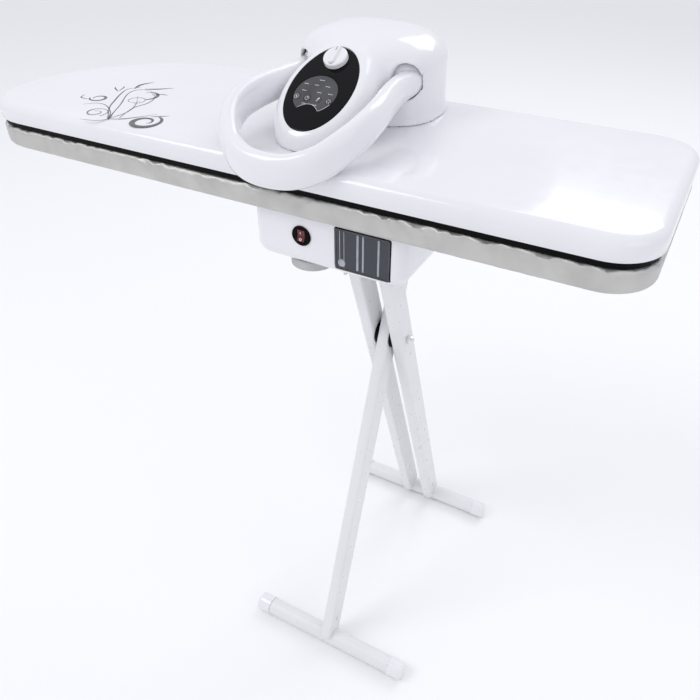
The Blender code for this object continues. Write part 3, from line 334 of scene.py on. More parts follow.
def loft(rings, caps=True):
    """A solid through rings of equal point count, closed by caps or, without them, ring to ring."""
    bm = bmesh.new()
    loops = [[bm.verts.new(point) for point in ring] for ring in rings]
    pairs = list(zip(loops, loops[1:]))
    if not caps:
        pairs.append((loops[-1], loops[0]))
    for lower, upper in pairs:
        for i in range(len(lower)):
            j = (i + 1) % len(lower)
            bm.faces.new((lower[i], lower[j], upper[j], upper[i]))
    if caps:
        bm.faces.new(reversed(loops[0]))
        bm.faces.new(loops[-1])
    if bm.calc_volume(signed=True) < 0:
        bmesh.ops.reverse_faces(bm, faces=bm.faces)
    return bm


def box(low, high, bevel=0.0, segments=3):
    """A cuboid between two corners."""
    bm = bmesh.new()
    low, high = Vector(low), Vector(high)
    place = Matrix.Translation((low + high) / 2) @ Matrix.Diagonal((*(high - low), 1))
    bmesh.ops.create_cube(bm, size=1, matrix=place)
    if bevel:
        bmesh.ops.bevel(bm, geom=list(bm.edges), offset=bevel, segments=segments, affect="EDGES", profile=0.5)
    return bm


def turned(profile, start, direction, sides=64):
    """A solid of revolution. The profile lists (distance along the axis, radius)."""
    axis = Vector(direction).normalized()
    across = axis.orthogonal().normalized()
    other = axis.cross(across)
    turns = [(math.cos(2 * math.pi * i / sides), math.sin(2 * math.pi * i / sides)) for i in range(sides)]
    return loft([
        [Vector(start) + axis * along + (across * c + other * s) * radius for c, s in turns]
        for along, radius in profile
    ])


def join(target, other):
    """Adds the faces of another mesh, which is then freed."""
    mesh = bpy.data.meshes.new("scratch")
    other.to_mesh(mesh)
    target.from_mesh(mesh)
    bpy.data.meshes.remove(mesh)
    other.free()
    return target


def curve_through(points, steps):
    """Catmull-Rom curve through the points."""
    ends = [points[0] * 2 - points[1]] + list(points) + [points[-1] * 2 - points[-2]]
    path = []
    for a, b, c, d in zip(ends, ends[1:], ends[2:], ends[3:]):
        for i in range(steps):
            t = i / steps
            square, cube = 2 * a - 5 * b + 4 * c - d, 3 * b - a - 3 * c + d
            path.append(0.5 * (2 * b + (c - a) * t + square * t**2 + cube * t**3))
    return path + [points[-1]]


def rounded_rectangle(x0, x1, y0, y1, radius, steps=8):
    points = arc((x1 - radius, y0 + radius), radius, -90, 0, steps)
    points += arc((x1 - radius, y1 - radius), radius, 0, 90, steps)
    points += arc((x0 + radius, y1 - radius), radius, 90, 180, steps)
    points += arc((x0 + radius, y0 + radius), radius, 180, 270, steps)
    return points


def oval(half_width, half_length, count=96):
    angles = [2 * math.pi * i / count for i in range(count)]
    return [(half_width * math.cos(a), half_length * math.sin(a)) for a in angles]


def on_panel(u, v, rise=0.0):
    """A place on the control panel: across it, up it and out of it."""
    return PANEL_CENTRE + X_AXIS * u + PANEL_UP * v + PANEL_NORMAL * rise


def panel_prism(outline, *levels):
    """A solid standing on the control panel; each (rise, inset) is one ring of the outline."""
    centre = np.mean(outline, axis=0)
    rings = []
    for rise, inset in levels:
        reach = np.array(outline) - centre
        length = np.linalg.norm(reach, axis=1, keepdims=True)
        moved = centre + reach * (1 - inset / length)
        rings.append([on_panel(u, v, rise) for u, v in moved])
    return loft(rings)


# ---------------------------------------------------------------- surfaces from a field
def edge_ends(axis, others):
    """Slices of the grid for the two ends of every edge along an axis."""
    start, end = list(others), list(others)
    start[axis], end[axis] = slice(0, -1), slice(1, None)
    return tuple(start), tuple(end)


def cell_points(values, inside):
    """Which cells the surface crosses, and the mean place of the crossings in each, in cells."""
    counts = np.array(values.shape)
    total = np.zeros((*(counts - 1), 3))
    number = np.zeros(counts - 1)
    for k in range(3):
        i, j = (k + 1) % 3, (k + 2) % 3
        for a, b in ((0, 0), (0, 1), (1, 0), (1, 1)):
            others = [slice(None)] * 3
            others[i], others[j] = slice(a, counts[i] - 1 + a), slice(b, counts[j] - 1 + b)
            start, end = edge_ends(k, others)
            crossing = inside[start] != inside[end]
            fall = np.where(crossing, values[start] - values[end], 1)
            total[..., k] += np.where(crossing, values[start] / fall, 0)
            total[..., i] += a * crossing
            total[..., j] += b * crossing
            number += crossing
    held = number > 0
    return held, np.argwhere(held) + total[held] / number[held][:, None]


def cell_faces(inside, index):
    """One quad across each grid edge that the surface crosses, from the four cells round it."""
    faces = []
    for k in range(3):
        start, end = edge_ends(k, [slice(1, -1)] * 3)
        cells = np.argwhere(inside[start] != inside[end])
        outwards = inside[start][tuple(cells.T)]
        corners = []
        for a, b in ((0, 0), (1, 0), (1, 1), (0, 1)):
            corner = cells.copy()
            corner[:, (k + 1) % 3] += a
            corner[:, (k + 2) % 3] += b
            corners.append(index[tuple(corner.T)])
        quads = np.stack(corners, 1)
        quads[~outwards] = quads[~outwards][:, ::-1]
        faces.append(quads)
    return np.concatenate(faces)


def surface_net(field, low, high, step):
    """A closed mesh of quads where field(points), negative inside, is zero."""
    low = np.array(low, float)
    counts = np.ceil((np.array(high) - low) / step).astype(int) + 1
    axes = [low[k] + step * np.arange(counts[k]) for k in range(3)]
    grid = np.stack(np.meshgrid(*axes, indexing="ij"), -1).reshape(-1, 3)
    values = field(grid).reshape(counts)
    inside = values < 0
    held, cells = cell_points(values, inside)
    index = np.full(held.shape, -1)
    index[held] = np.arange(held.sum())
    return settle(field, low + step * cells, step * 0.25), cell_faces(inside, index)


def settle(field, points, reach):
    """Moves the points onto the surface along the field's slope."""
    small, rounds = 1e-5, 3
    for _ in range(rounds):
        value = field(points)
        rises = [field(points + small * axis) - field(points - small * axis) for axis in np.eye(3)]
        slope = np.stack(rises, 1) / (2 * small)
        move = value / np.maximum((slope**2).sum(1), 0.05)
        move = slope * move[:, None]
        length = np.linalg.norm(move, axis=1, keepdims=True)
        points = points - move * np.minimum(1, reach / np.maximum(length, 1e-12))
    return points


def net_piece(field, low, high, step):
    points, faces = surface_net(field, low, high, step)
    mesh = bpy.data.meshes.new("net")
    mesh.from_pydata(points.tolist(), [], faces.tolist())
    bm = bmesh.new()
    bm.from_mesh(mesh)
    bpy.data.meshes.remove(mesh)
    return bm


def round_distance(reach, ratio):
    """About how far a point is from a surface where ratio, which grows with distance, is 1."""
    return np.linalg.norm(reach, axis=1) * (1 - 1 / np.maximum(ratio, 1e-6))


def blend_min(a, b, width):
    """The union of two fields, with a fillet."""
    share = np.clip(0.5 + 0.5 * (b - a) / width, 0, 1)
    return b + (a - b) * share - width * share * (1 - share)


def blend_max(a, b, width):
    """What two fields share, with a fillet."""
    return -blend_min(-a, -b, width)


# ---------------------------------------------------------------- press head
def make_shell():
    """The white lid: a moulded tray turned over, with a soft edge all round."""
    plan = board_plan(360)
    rim, top, wall = SHELL_RIM, SHELL_TOP, 0.0028
    inner = [(0.0380, top - wall), (0.0110, top - wall - 0.0026), (0.0045, top - wall - 0.0062)]
    inner += [(wall, top - wall - 0.0110), (wall, rim + 0.0004), (wall - 0.0004, rim)]
    outer = [(0.0005, rim), (0.0, rim + 0.0006)]
    for i in range(11):
        angle = math.radians(9 * i)
        outer.append((0.0125 * (1 - math.cos(angle)), top - 0.0120 + 0.0112 * math.sin(angle)))
    outer += [(0.0190, top - 0.00055), (0.0270, top - 0.00025), (0.0380, top), (0.0390, top)]
    rings = [inset_ring(plan, inset, z) for inset, z in inner + outer]
    shell = add_piece("head_shell", loft(rings), "white_gloss", "press_head", 50)
    for offset, half in ((-0.070, 0.0040), (0.070, 0.0040), (0.0, 0.0045)):
        x = TOWER_X + offset
        cut(shell, box((x - half, 0.120, rim - 0.005), (x + half, 0.145, rim + 0.0085)))
    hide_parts("head_cover")


def tower_body(p):
    """Upright superelliptic column with a domed top and a small foot flare."""
    half_width, half_depth, dome, corner, crown = 0.0840, 0.0640, 0.036, 2.7, 2.5
    x, y, z = p[:, 0] - TOWER_X, p[:, 1] - 0.068, p[:, 2]
    flare = 0.0035 * np.exp(-(z - SHELL_TOP) / 0.005)
    lean = 0.0015 * np.clip((z - SHELL_TOP) / 0.09, 0, 1)
    wide = np.abs(x) / (half_width - lean + flare)
    deep = np.abs(y) / (half_depth - lean + flare)
    level = (wide**corner + deep**corner) ** (1 / corner)
    above = np.maximum(z - (TOWER_TOP - dome), 0)
    ratio = (level**crown + (above / dome) ** crown) ** (1 / crown)
    return round_distance(np.stack([x, y, above], 1), ratio)


def pod_body(p):
    """Egg-shaped pod, cut flat along the control panel with a rounded rim."""
    q = p - np.array(PANEL_CENTRE)
    u, v, n = q[:, 0], q @ np.array(PANEL_UP), q @ np.array(PANEL_NORMAL)
    deep = n + 0.024
    ratio = np.sqrt((u / 0.0530) ** 2 + (v / 0.0755) ** 2 + (deep / np.where(deep > 0, 0.0385, 0.0518)) ** 2)
    egg = round_distance(np.stack([u, v, deep], 1), ratio)
    return blend_max(egg, n, 0.004)


def handle_bar(p, clearance=0.0):
    """Distance to the arms of the handle near their hubs, for the room the cover leaves round them."""
    steps, arm_spans = 6, 5
    line = np.array(curve_through([Vector(row) for row in HANDLE_LINE], steps))
    line = line[: steps * arm_spans][::-1]
    x = np.abs(p[:, 0] - TOWER_X) - np.interp(p[:, 1], line[:, 1], line[:, 0])
    z = p[:, 2] - np.interp(p[:, 1], line[:, 1], line[:, 2])
    half = np.interp(p[:, 1], line[:, 1], line[:, 3])
    ratio = (np.abs(x) / HANDLE_HALF_WIDTH) ** HANDLE_POWER + (np.abs(z) / half) ** HANDLE_POWER
    ratio = ratio ** (1 / HANDLE_POWER)
    bar = round_distance(np.stack([x, z], 1), ratio)
    bar = np.maximum(bar, p[:, 1] - HANDLE_AXIS.y)
    away = np.hypot(p[:, 1] - HANDLE_AXIS.y, p[:, 2] - HANDLE_AXIS.z)
    across = np.abs(p[:, 0] - TOWER_X)
    drum = np.maximum(away - np.interp(across, DRUM_OFFSETS, DRUM_RADII), across - DRUM_OFFSETS[-1])
    drum = np.maximum(drum, DRUM_OFFSETS[0] - across)
    return np.minimum(bar, drum) - clearance


def handle_room(p):
    """The space that the handle's arms sweep through as the handle lifts."""
    found = np.full(len(p), 1.0)
    near = np.abs(np.abs(p[:, 0] - TOWER_X) - 0.066) < 0.024
    q = p[near]
    nearest = np.full(len(q), 1.0)
    for step in range(7):
        angle = HANDLE_SWING * step / 6
        c, s = math.cos(angle), math.sin(angle)
        y, z = q[:, 1] - HANDLE_AXIS.y, q[:, 2] - HANDLE_AXIS.z
        turned_back = np.stack([q[:, 0], HANDLE_AXIS.y + c * y - s * z, HANDLE_AXIS.z + s * y + c * z], 1)
        nearest = np.minimum(nearest, handle_bar(turned_back, 0.0010))
    found[near] = nearest
    return found


def tower_field(p):
    """The hollow cover: column and pod blended, open below, with slots for the handle's arms."""
    fillet, wall = 0.030, 0.0050
    body = blend_min(tower_body(p), pod_body(p), fillet)
    shell = np.maximum(body, -(body + wall))
    shell = np.maximum(shell, SHELL_TOP + 0.0003 - p[:, 2])
    return blend_max(shell, -handle_room(p), 0.0012)


def make_tower():
    """Control tower and sloping pod, one smooth white moulding round the handle's roots."""
    reach = 0.090
    low = (TOWER_X - reach, -0.115, SHELL_TOP - 0.004)
    high = (TOWER_X + reach, 0.142, TOWER_TOP + 0.004)
    net = net_piece(tower_field, low, high, 0.0018)
    tower = add_piece("control_tower", net, "white_gloss", "press_head", 40)
    for margin, depth in ((0.0004, 0.0023), (-0.004, 0.014)):
        shape = oval(PANEL_HALF_WIDTH + margin, PANEL_HALF_LENGTH + margin)
        cut(tower, panel_prism(shape, (-depth, 0), (0.012, 0)))
    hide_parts("tower_cover")


DISPLAY_CENTRE, DISPLAY_RADIUS = (-0.003, -0.0080), 0.0245
BUTTON_ROW, BUTTON_PLACES = -0.0150, (-0.0220, -0.0093, 0.0034, 0.0161)
BUTTON_BODIES = ("button_a", "button_b", "button_c", "button_d")
KNOB_PLACE = (0.0, 0.0385)
GLASS_GAP, CUT_DEPTH, PRINT_RISE, DISPLAY_STEPS = 0.0002, 0.006, 0.00045, 72


def display_outline(margin=0.0):
    """A disc whose lower part is cut away by a rising arc."""
    radius, points = DISPLAY_RADIUS + margin, []
    cut_angle = math.radians(58)
    for i in range(DISPLAY_STEPS + 1):
        angle = -cut_angle + (math.pi + 2 * cut_angle) * i / DISPLAY_STEPS
        if i in (0, DISPLAY_STEPS):
            angle += math.copysign(margin / radius, i - 1)
        u, v = DISPLAY_CENTRE
        points.append((u + radius * math.cos(angle), v + radius * math.sin(angle)))
    left, right = points[-1], points[0]
    rise = 0.0065 - margin
    for i in range(1, 24):
        t = i / 24
        v = left[1] + (right[1] - left[1]) * t + 4 * rise * t * (1 - t)
        points.append((left[0] + (right[0] - left[0]) * t, v))
    return points


def ribbon(points, widths, rise=0.0, thickness=0.00015, place=on_panel):
    """A flat printed stroke on a surface: one width, or one for each point."""
    line = np.array(points, float)
    along = np.gradient(line, axis=0)
    across = np.stack([-along[:, 1], along[:, 0]], 1) / np.linalg.norm(along, axis=1, keepdims=True)
    half = np.broadcast_to(np.reshape(widths, (-1, 1)) / 2, (len(line), 1))
    left, right = line + across * half, line - across * half
    rings = []
    top = rise + thickness
    for a, b in zip(left, right):
        rings.append([place(*a, rise), place(*b, rise), place(*b, top), place(*a, top)])
    return loft(rings)


def ring_stroke(centre, radius, start, end, width, rise, steps=20):
    points = arc(centre, radius, start, end, steps)
    return ribbon(points, width, rise)


def button_icon(kind, u):
    """Generic line icons: a target, a timer, a steam bolt and a ring of dots."""
    v, rise, line = BUTTON_ROW, 0.00085, 0.00034
    if kind == 0:
        icon = ring_stroke((u, v), 0.0026, 0, 359, line, rise)
        return join(icon, ring_stroke((u, v), 0.0005, 0, 359, 0.0008, rise, 10))
    if kind == 1:
        icon = ring_stroke((u, v), 0.0022, 110, 430, line, rise)
        icon = join(icon, ribbon([(u, v + 0.0031), (u, v + 0.0008)], line, rise))
        return join(icon, ribbon([(u, v), (u + 0.0010, v + 0.0006)], line, rise))
    if kind == 2:
        icon = ribbon([(u + 0.0012, v + 0.0026), (u - 0.0002, v + 0.0004)], (0.0016, 0.0010), rise)
        tail = [(u + 0.0004, v + 0.0006), (u - 0.0012, v - 0.0026)]
        return join(icon, ribbon(tail, (0.0012, 0.0003), rise))
    icon = bmesh.new()
    for i in range(6):
        angle = math.radians(60 * i)
        centre = (u + 0.0021 * math.cos(angle), v + 0.0021 * math.sin(angle))
        icon = join(icon, ring_stroke(centre, 0.00028, 0, 350, 0.00045, rise, 8))
    return icon


def make_fascia():
    """Black acrylic oval with a softened rim, cut out for the display and the knob's spindle."""
    fascia = panel_prism(
        oval(PANEL_HALF_WIDTH, PANEL_HALF_LENGTH, 128),
        (-0.0020, 0), (0.0001, 0), (0.00042, 0.00012), (0.00058, 0.00045), (0.0006, 0.0012),
    )
    fascia = add_piece("control_glass", fascia, "black_gloss", "press_head", 30)
    cut(fascia, panel_prism(display_outline(GLASS_GAP), (-CUT_DEPTH, 0), (CUT_DEPTH, 0)))
    hole = on_panel(*KNOB_PLACE, -CUT_DEPTH)
    cut(fascia, turned([(0, 0.0034), (2 * CUT_DEPTH, 0.0034)], hole, PANEL_NORMAL, 32))
    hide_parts("control_fascia")


def make_display():
    """Smoked window with a hole for each key, and a thin pale line along its lower edge, drawn in the white
    print with its faint painted glow.
    """
    display = panel_prism(display_outline(-GLASS_GAP), (-0.0020, 0), (0.0002, 0), (0.0004, 0.0002))
    display = add_piece("display_glass", display, "smoke_grey", "press_head", 30)
    for u in BUTTON_PLACES:
        hole = on_panel(u, BUTTON_ROW, -CUT_DEPTH)
        cut(display, turned([(0, 0.0040), (2 * CUT_DEPTH, 0.0040)], hole, PANEL_NORMAL, 40))
    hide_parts("display_window")
    outline = display_outline(-2 * GLASS_GAP)
    lower_edge = outline[DISPLAY_STEPS:] + outline[:9]
    add_piece("display_rim", ribbon(lower_edge, 0.0004, PRINT_RISE), "mark", "press_head")


def make_labels():
    """Rows of short dashes in place of the printed words."""
    rows = [
        (-0.0220, (-0.0225, -0.0100, 0.0030, 0.0150), 0.0046), (0.0030, (-0.0185, -0.0060, 0.0070), 0.0052),
        (-0.0058, (-0.0170, 0.0010, 0.0140), 0.0054), (0.0100, (-0.0030,), 0.0060),
    ]
    labels, dashes = bmesh.new(), 4
    for v, places, length in rows:
        for u in places:
            if math.hypot(u - DISPLAY_CENTRE[0], v - DISPLAY_CENTRE[1]) > DISPLAY_RADIUS - 0.0028:
                continue
            for k in range(dashes):
                start = u + (k - dashes / 2) * length / dashes
                dash = [(start, v), (start + length / (dashes + 1.5), v)]
                labels = join(labels, ribbon(dash, 0.0007, PRINT_RISE))
    add_piece("panel_labels", labels, "mark", "press_head")


def make_keys():
    """Four round touch keys, each with its icon on its own body."""
    profile = [(0, 0.0035), (0.0048, 0.0037), (0.0051, 0.0036), (0.0052, 0.0033)]
    for kind, (u, body) in enumerate(zip(BUTTON_PLACES, BUTTON_BODIES)):
        key = turned(profile, on_panel(u, BUTTON_ROW, -0.0045), PANEL_NORMAL, 40)
        cap = add_piece(f"button_cap_{kind + 1}", key, "smoke_grey", body)
        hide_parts(f"button_{kind + 1}")
        add_piece(f"button_icon_{kind + 1}", button_icon(kind, u), "mark", body)


def make_knob():
    """Thermostat knob: a low white drum with a tapered finger rib across it."""
    profile = [(-0.0060, 0.0030), (0.0010, 0.0030), (0.0010, 0.0130), (0.0014, 0.0134), (0.0048, 0.0132)]
    for i in range(1, 7):
        angle = math.radians(15 * i)
        profile.append((0.0048 + 0.0022 * math.sin(angle), 0.0132 - 0.0022 * (1 - math.cos(angle))))
    profile += [(0.0071, 0.0100)]
    drum = turned(profile, on_panel(*KNOB_PLACE), PANEL_NORMAL, 96)
    knob = add_piece("knob_drum", drum, "white_gloss", "knob", 30)
    rings = []
    knob_u, knob_v = KNOB_PLACE
    for rise, half_width, half_length in (
        (0.0055, 0.0042, 0.0122), (0.0078, 0.0034, 0.0118), (0.0094, 0.0026, 0.0112), (0.0100, 0.0016, 0.0102)
    ):
        shape = rounded_rectangle(-half_width, half_width, -half_length, half_length, half_width * 0.98, 6)
        rings.append([on_panel(knob_u + u, knob_v + v, rise) for u, v in shape])
    cut(knob, loft(rings), "UNION")
    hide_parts("thermostat_knob")
    mark = ribbon([(knob_u, knob_v + 0.0040), (knob_u, knob_v + 0.0090)], 0.0006, 0.0100)
    add_piece("knob_pointer", mark, "ink", "knob")


# ---------------------------------------------------------------- handle
def handle_rings(sides=28):
    """Rounded oblong sections along the handle, from its right root round to the left one."""
    right = [Vector((TOWER_X + x, y, z, rise)) for x, y, z, rise in HANDLE_LINE]
    left = [Vector((TOWER_X - x, y, z, rise)) for x, y, z, rise in reversed(HANDLE_LINE[:-1])]
    path = curve_through(right + left, 9)
    rings = []
    for i, here in enumerate(path):
        before, after = path[max(i - 1, 0)].xyz, path[min(i + 1, len(path) - 1)].xyz
        along = (after - before).normalized()
        side = along.cross(Z_AXIS).normalized()
        rise = side.cross(along).normalized()
        ring = []
        for k in range(sides):
            angle = 2 * math.pi * k / sides
            c, s = math.cos(angle), math.sin(angle)
            u = math.copysign(abs(c) ** (2 / HANDLE_POWER), c) * HANDLE_HALF_WIDTH
            v = math.copysign(abs(s) ** (2 / HANDLE_POWER), s) * here.w
            ring.append(here.xyz + side * u + rise * v)
        rings.append(ring)
    return rings


def make_handle():
    """The loop, with a round boss at each root that turns in the tower's slot."""
    bar, bore = loft(handle_rings()), 0.0060
    profile = [(DRUM_OFFSETS[0], bore), *zip(DRUM_OFFSETS, DRUM_RADII), (DRUM_OFFSETS[-1], bore)]
    for side in (-1, 1):
        bar = join(bar, turned(profile, HANDLE_AXIS, X_AXIS * side, 96))
    loop = add_piece("handle_bar", bar, "white_gloss", "handle", 40)
    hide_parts("handle_loop")


# ---------------------------------------------------------------- scroll print on the lid
def spiral(centre, radius, start, turns, shrink, steps=36):
    """A spiral that winds in from a start angle, losing a share of its radius."""
    points = []
    for i in range(steps + 1):
        t = i / steps
        angle = math.radians(start) + 2 * math.pi * turns * t
        reach = radius * (1 - shrink * t)
        points.append((centre[0] + reach * math.cos(angle), centre[1] + reach * math.sin(angle)))
    return points


def tapered(count, widest, tail):
    """Widths that swell and run out to a hair line."""
    shares = [tail + (1 - tail) * i / (count - 1) for i in range(count)]
    return [max(widest * math.sin(math.pi * share), 0.0003) for share in shares]


def on_lid(x, y, rise):
    """A place on the flat top of the lid, clear of its surface."""
    return Vector((x, y, SHELL_TOP + 0.00002 + rise))


def brush(path, widest, tail):
    """One tapered printed line on the lid."""
    return ribbon(path, tapered(len(path), widest, tail), 0.0, 0.00012, on_lid)


def make_scroll():
    """A plain scroll of leaves and spirals, printed in grey near the tapered end."""
    root = (-0.199, -0.121)
    strokes = [
        ([(-0.226, -0.136), (-0.208, -0.132), root, (-0.209, -0.101), (-0.229, -0.063)], 0.0013),
        ([root, (-0.212, -0.103), (-0.234, -0.087), (-0.250, -0.085), (-0.262, -0.096)], 0.0012),
        ([root, (-0.226, -0.090), (-0.240, -0.066), (-0.250, -0.047), (-0.257, -0.027),
          (-0.249, -0.012)], 0.0018),
        ([root, (-0.220, -0.080), (-0.244, -0.039), (-0.242, -0.020), (-0.224, -0.018)], 0.0013),
        ([(-0.190, -0.112), (-0.200, -0.078), (-0.197, -0.057), (-0.204, -0.036), (-0.222, -0.022)], 0.0014),
        ([root, (-0.196, -0.092), (-0.207, -0.066), (-0.226, -0.042)], 0.0010),
        ([root, (-0.184, -0.112), (-0.168, -0.094), (-0.160, -0.082)], 0.0012),
        ([(-0.160, -0.092), (-0.152, -0.086), (-0.143, -0.080)], 0.0022),
        ([(-0.251, -0.020), (-0.255, -0.004), (-0.248, 0.013)], 0.0042),
        ([(-0.238, -0.016), (-0.224, -0.008), (-0.209, 0.005)], 0.0036),
        ([(-0.214, -0.030), (-0.204, -0.022), (-0.196, -0.022)], 0.0018),
        ([(-0.262, -0.038), (-0.272, -0.032), (-0.278, -0.026)], 0.0020),
        ([(-0.262, -0.036), (-0.266, -0.024), (-0.270, -0.018)], 0.0016),
        ([(-0.272, -0.079), (-0.284, -0.078), (-0.288, -0.068)], 0.0018),
    ]
    print_mesh = bmesh.new()
    for points, widest in strokes:
        path = [tuple(p) for p in curve_through([Vector(p) for p in points], 8)]
        print_mesh = join(print_mesh, brush(path, widest, 0.1))
    spirals = [
        ((-0.228, -0.110), 0.0150, 330, 1.5, 0.75, 0.0011),
        ((-0.263, -0.070), 0.0110, 200, 1.1, 0.45, 0.0036),
        ((-0.217, -0.055), 0.0120, 300, 1.15, 0.35, 0.0009),
        ((-0.156, -0.108), 0.0200, 75, -1.30, 0.66, 0.0060),
        ((-0.219, -0.036), 0.0160, -50, 0.50, 0.12, 0.0042),
    ]
    for centre, radius, start, turns, shrink, widest in spirals:
        print_mesh = join(print_mesh, brush(spiral(centre, radius, start, turns, shrink), widest, 0.15))
    add_piece("lid_scroll_print", print_mesh, "ink", "press_head")


# ---------------------------------------------------------------- ironing board cover
HEM_INSET, HELD_TOP_ROWS, HELD_HEM_ROWS, CLOTH_FRAMES = 0.0200, 4, 2, 24


def cover_rows():
    """(inset, height) from the flat top over the edge and side to the hem underneath."""
    top, bottom, edge = BOARD_HIGH.z, BOARD_LOW.z, 0.0045
    rows = [(0.0300, top), (0.0220, top), (0.0150, top), (0.0100, top)]
    for i in range(5):
        angle = math.radians(22.5 * i)
        rows.append((edge * (1 - math.sin(angle)), top - edge * (1 - math.cos(angle))))
    rows += [(0.0, top - edge - 0.0150 * t) for t in (0.2, 0.4, 0.6, 0.8, 1.0)]
    for i in range(1, 5):
        angle = math.radians(22.5 * i)
        rows.append((edge * (1 - math.cos(angle)), bottom + edge * (1 - math.sin(angle))))
    return rows + [(0.0120, bottom), (HEM_INSET, bottom)]


def cloth_ring(plan, inset, z):
    """One row of the cloth, whose outside is just inside the board's outline."""
    return [Vector((x, y, z)) for x, y in plan - outward(plan) * (inset + 0.0008)]


def make_cover():
    """The padded board's cloth: a flat top, and a band that is drawn in round the edge."""
    plan = board_plan(600)
    rows = cover_rows()
    bm = loft([cloth_ring(plan, inset, z) for inset, z in rows])
    bmesh.ops.delete(bm, geom=[f for f in bm.faces if len(f.verts) > 4], context="FACES_ONLY")
    band = add_piece("board_cover", bm, "silver_cloth", "base", 70)
    rest = np.array([v.co for v in band.data.vertices])
    count = len(plan)
    free = np.zeros(len(rest))
    free[HELD_TOP_ROWS * count : (len(rows) - HELD_HEM_ROWS) * count] = 1
    moved = simulate_band(band, free, rest)
    share = (rest[:, 2:] - BOARD_LOW.z) / (BOARD_HIGH.z - BOARD_LOW.z)
    limit = np.interp(share, (0, 0.25, 0.7, 0.9, 1), (0.00012, 0.0004, 0.0010, 0.0012, 0.0006))
    shift = moved - rest
    length = np.linalg.norm(shift, axis=1, keepdims=True)
    shift = shift * np.minimum(1, limit / np.maximum(length, 1e-9)) * free[:, None]
    band.data.vertices.foreach_set("co", (rest + shift).astype(np.float32).ravel())
    close_cover(band, plan)
    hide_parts("ironing_cover", "foam_pad")


def simulate_band(band, free, rest):
    """Cloth that is 6% too long for the edge it goes round, held at its top and at its hem."""
    group = band.vertex_groups.new(name="held")
    group.add([i for i, f in enumerate(free) if f == 0], 1.0, "REPLACE")
    seeded = rest.copy()
    for i, point in enumerate(rest):
        if free[i]:
            seeded[i, 2] += 0.0006 * noise.noise(Vector(point) * 60)
            seeded[i, :2] += 0.0004 * noise.noise(Vector(point) * 85 + Vector((3, 1, 7)))
    band.data.vertices.foreach_set("co", seeded.astype(np.float32).ravel())
    band.data.update()
    modifier = band.modifiers.new("cloth", "CLOTH")
    settings = modifier.settings
    settings.quality, settings.mass = 6, 0.2
    settings.tension_stiffness = settings.compression_stiffness = 18
    settings.shear_stiffness, settings.bending_stiffness = 8, 0.05
    settings.vertex_group_mass = "held"
    settings.pin_stiffness = 1.0
    settings.shrink_min = -0.06
    settings.use_pressure, settings.uniform_pressure_force = True, 0.6
    settings.effector_weights.gravity = 0
    modifier.collision_settings.use_collision = False
    modifier.point_cache.frame_start, modifier.point_cache.frame_end = 1, CLOTH_FRAMES + 2
    scene = bpy.context.scene
    for number in range(1, CLOTH_FRAMES + 1):
        scene.frame_set(number)
    evaluated = band.evaluated_get(bpy.context.evaluated_depsgraph_get())
    moved = np.empty(len(rest) * 3, np.float32)
    evaluated.data.vertices.foreach_get("co", moved)
    band.modifiers.remove(modifier)
    band.vertex_groups.clear()
    scene.frame_set(1)
    return moved.reshape(-1, 3).astype(float)


def close_cover(band, plan):
    """Closes the skin with its flat top and its inside, which runs from the hem up round the pan."""
    top, bottom = BOARD_HIGH.z, BOARD_LOW.z
    inside = [(HEM_INSET, bottom + 0.0011), (0.0035, bottom + 0.0011), (0.0019, bottom + 0.0025)]
    inside += [(0.0019, top - 0.0030), (0.0035, top - 0.0014)]
    bm = bmesh.new()
    bm.from_mesh(band.data)
    outer = list(bm.verts)
    count = len(plan)
    bm.faces.new(outer[:count])
    ring = outer[-count:]
    for inset, z in inside:
        following = [bm.verts.new(point) for point in cloth_ring(plan, inset, z)]
        for i in range(count):
            j = (i + 1) % count
            bm.faces.new([ring[i], ring[j], following[j], following[i]])
        ring = following
    bm.faces.new(ring)
    bmesh.ops.recalc_face_normals(bm, faces=bm.faces)
    bm.to_mesh(band.data)
    bm.free()
    band.data.shade_smooth()
    band.data.set_sharp_from_angle(angle=math.radians(60))


# ---------------------------------------------------------------- base housing, tank and switch
# Holes in the back of the housing: x, z, radius.
GLAND_HOLE, HOSE_HOLE = (0.140, 0.655, 0.0066), (0.045, 0.668, 0.0050)


def make_housing():
    """White base box under the board, with its edges well rounded, and openings for what it holds."""
    low, high = HOUSING_LOW, HOUSING_HIGH
    wall, corner, under = 0.003, 0.015, 0.016

    def section(inset, z, radius):
        sides = (low.x + inset, high.x - inset, low.y + inset, high.y - inset)
        return [Vector((x, y, z)) for x, y in rounded_rectangle(*sides, radius, 10)]

    rings = [section(under, low.z + wall, 0.004)]
    for i in range(4, -1, -1):
        angle = math.radians(22.5 * i)
        inset = under - (under - wall) * math.cos(angle)
        rings.append(section(inset, low.z + under - (under - wall) * math.sin(angle), corner - wall))
    rings = [rings[0]] + rings[2:] + [section(wall, high.z, corner - wall), section(0, high.z, corner)]
    for i in range(11):
        angle = math.radians(9 * i)
        rings.append(section(under * (1 - math.cos(angle)), low.z + under * (1 - math.sin(angle)), corner))
    rings.append(section(under + 0.002, low.z, corner - 0.002))
    housing = add_piece("housing_shell", loft(rings), "white_gloss", "base", 40)
    front, through = low.y - 0.01, 0.03
    clear = Vector((1, 0, 1)) * 0.0012
    bay_low, bay_high = TANK_LOW - clear, TANK_HIGH + clear
    bay_low.y, bay_high.y = front, front + through
    cut(housing, box(bay_low, bay_high, 0.0022, 3))
    switch = (BEZEL_LOW + BEZEL_HIGH) / 2
    hole = Vector((switch.x, front, switch.z))
    cut(housing, turned([(0, 0.0100), (through, 0.0100)], hole, Y_AXIS, 64))
    for x, z, radius in (GLAND_HOLE, HOSE_HOLE):
        start = Vector((x, high.y - 0.01, z))
        cut(housing, turned([(0, radius), (through, radius)], start, Y_AXIS, 40))
    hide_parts("base_housing")


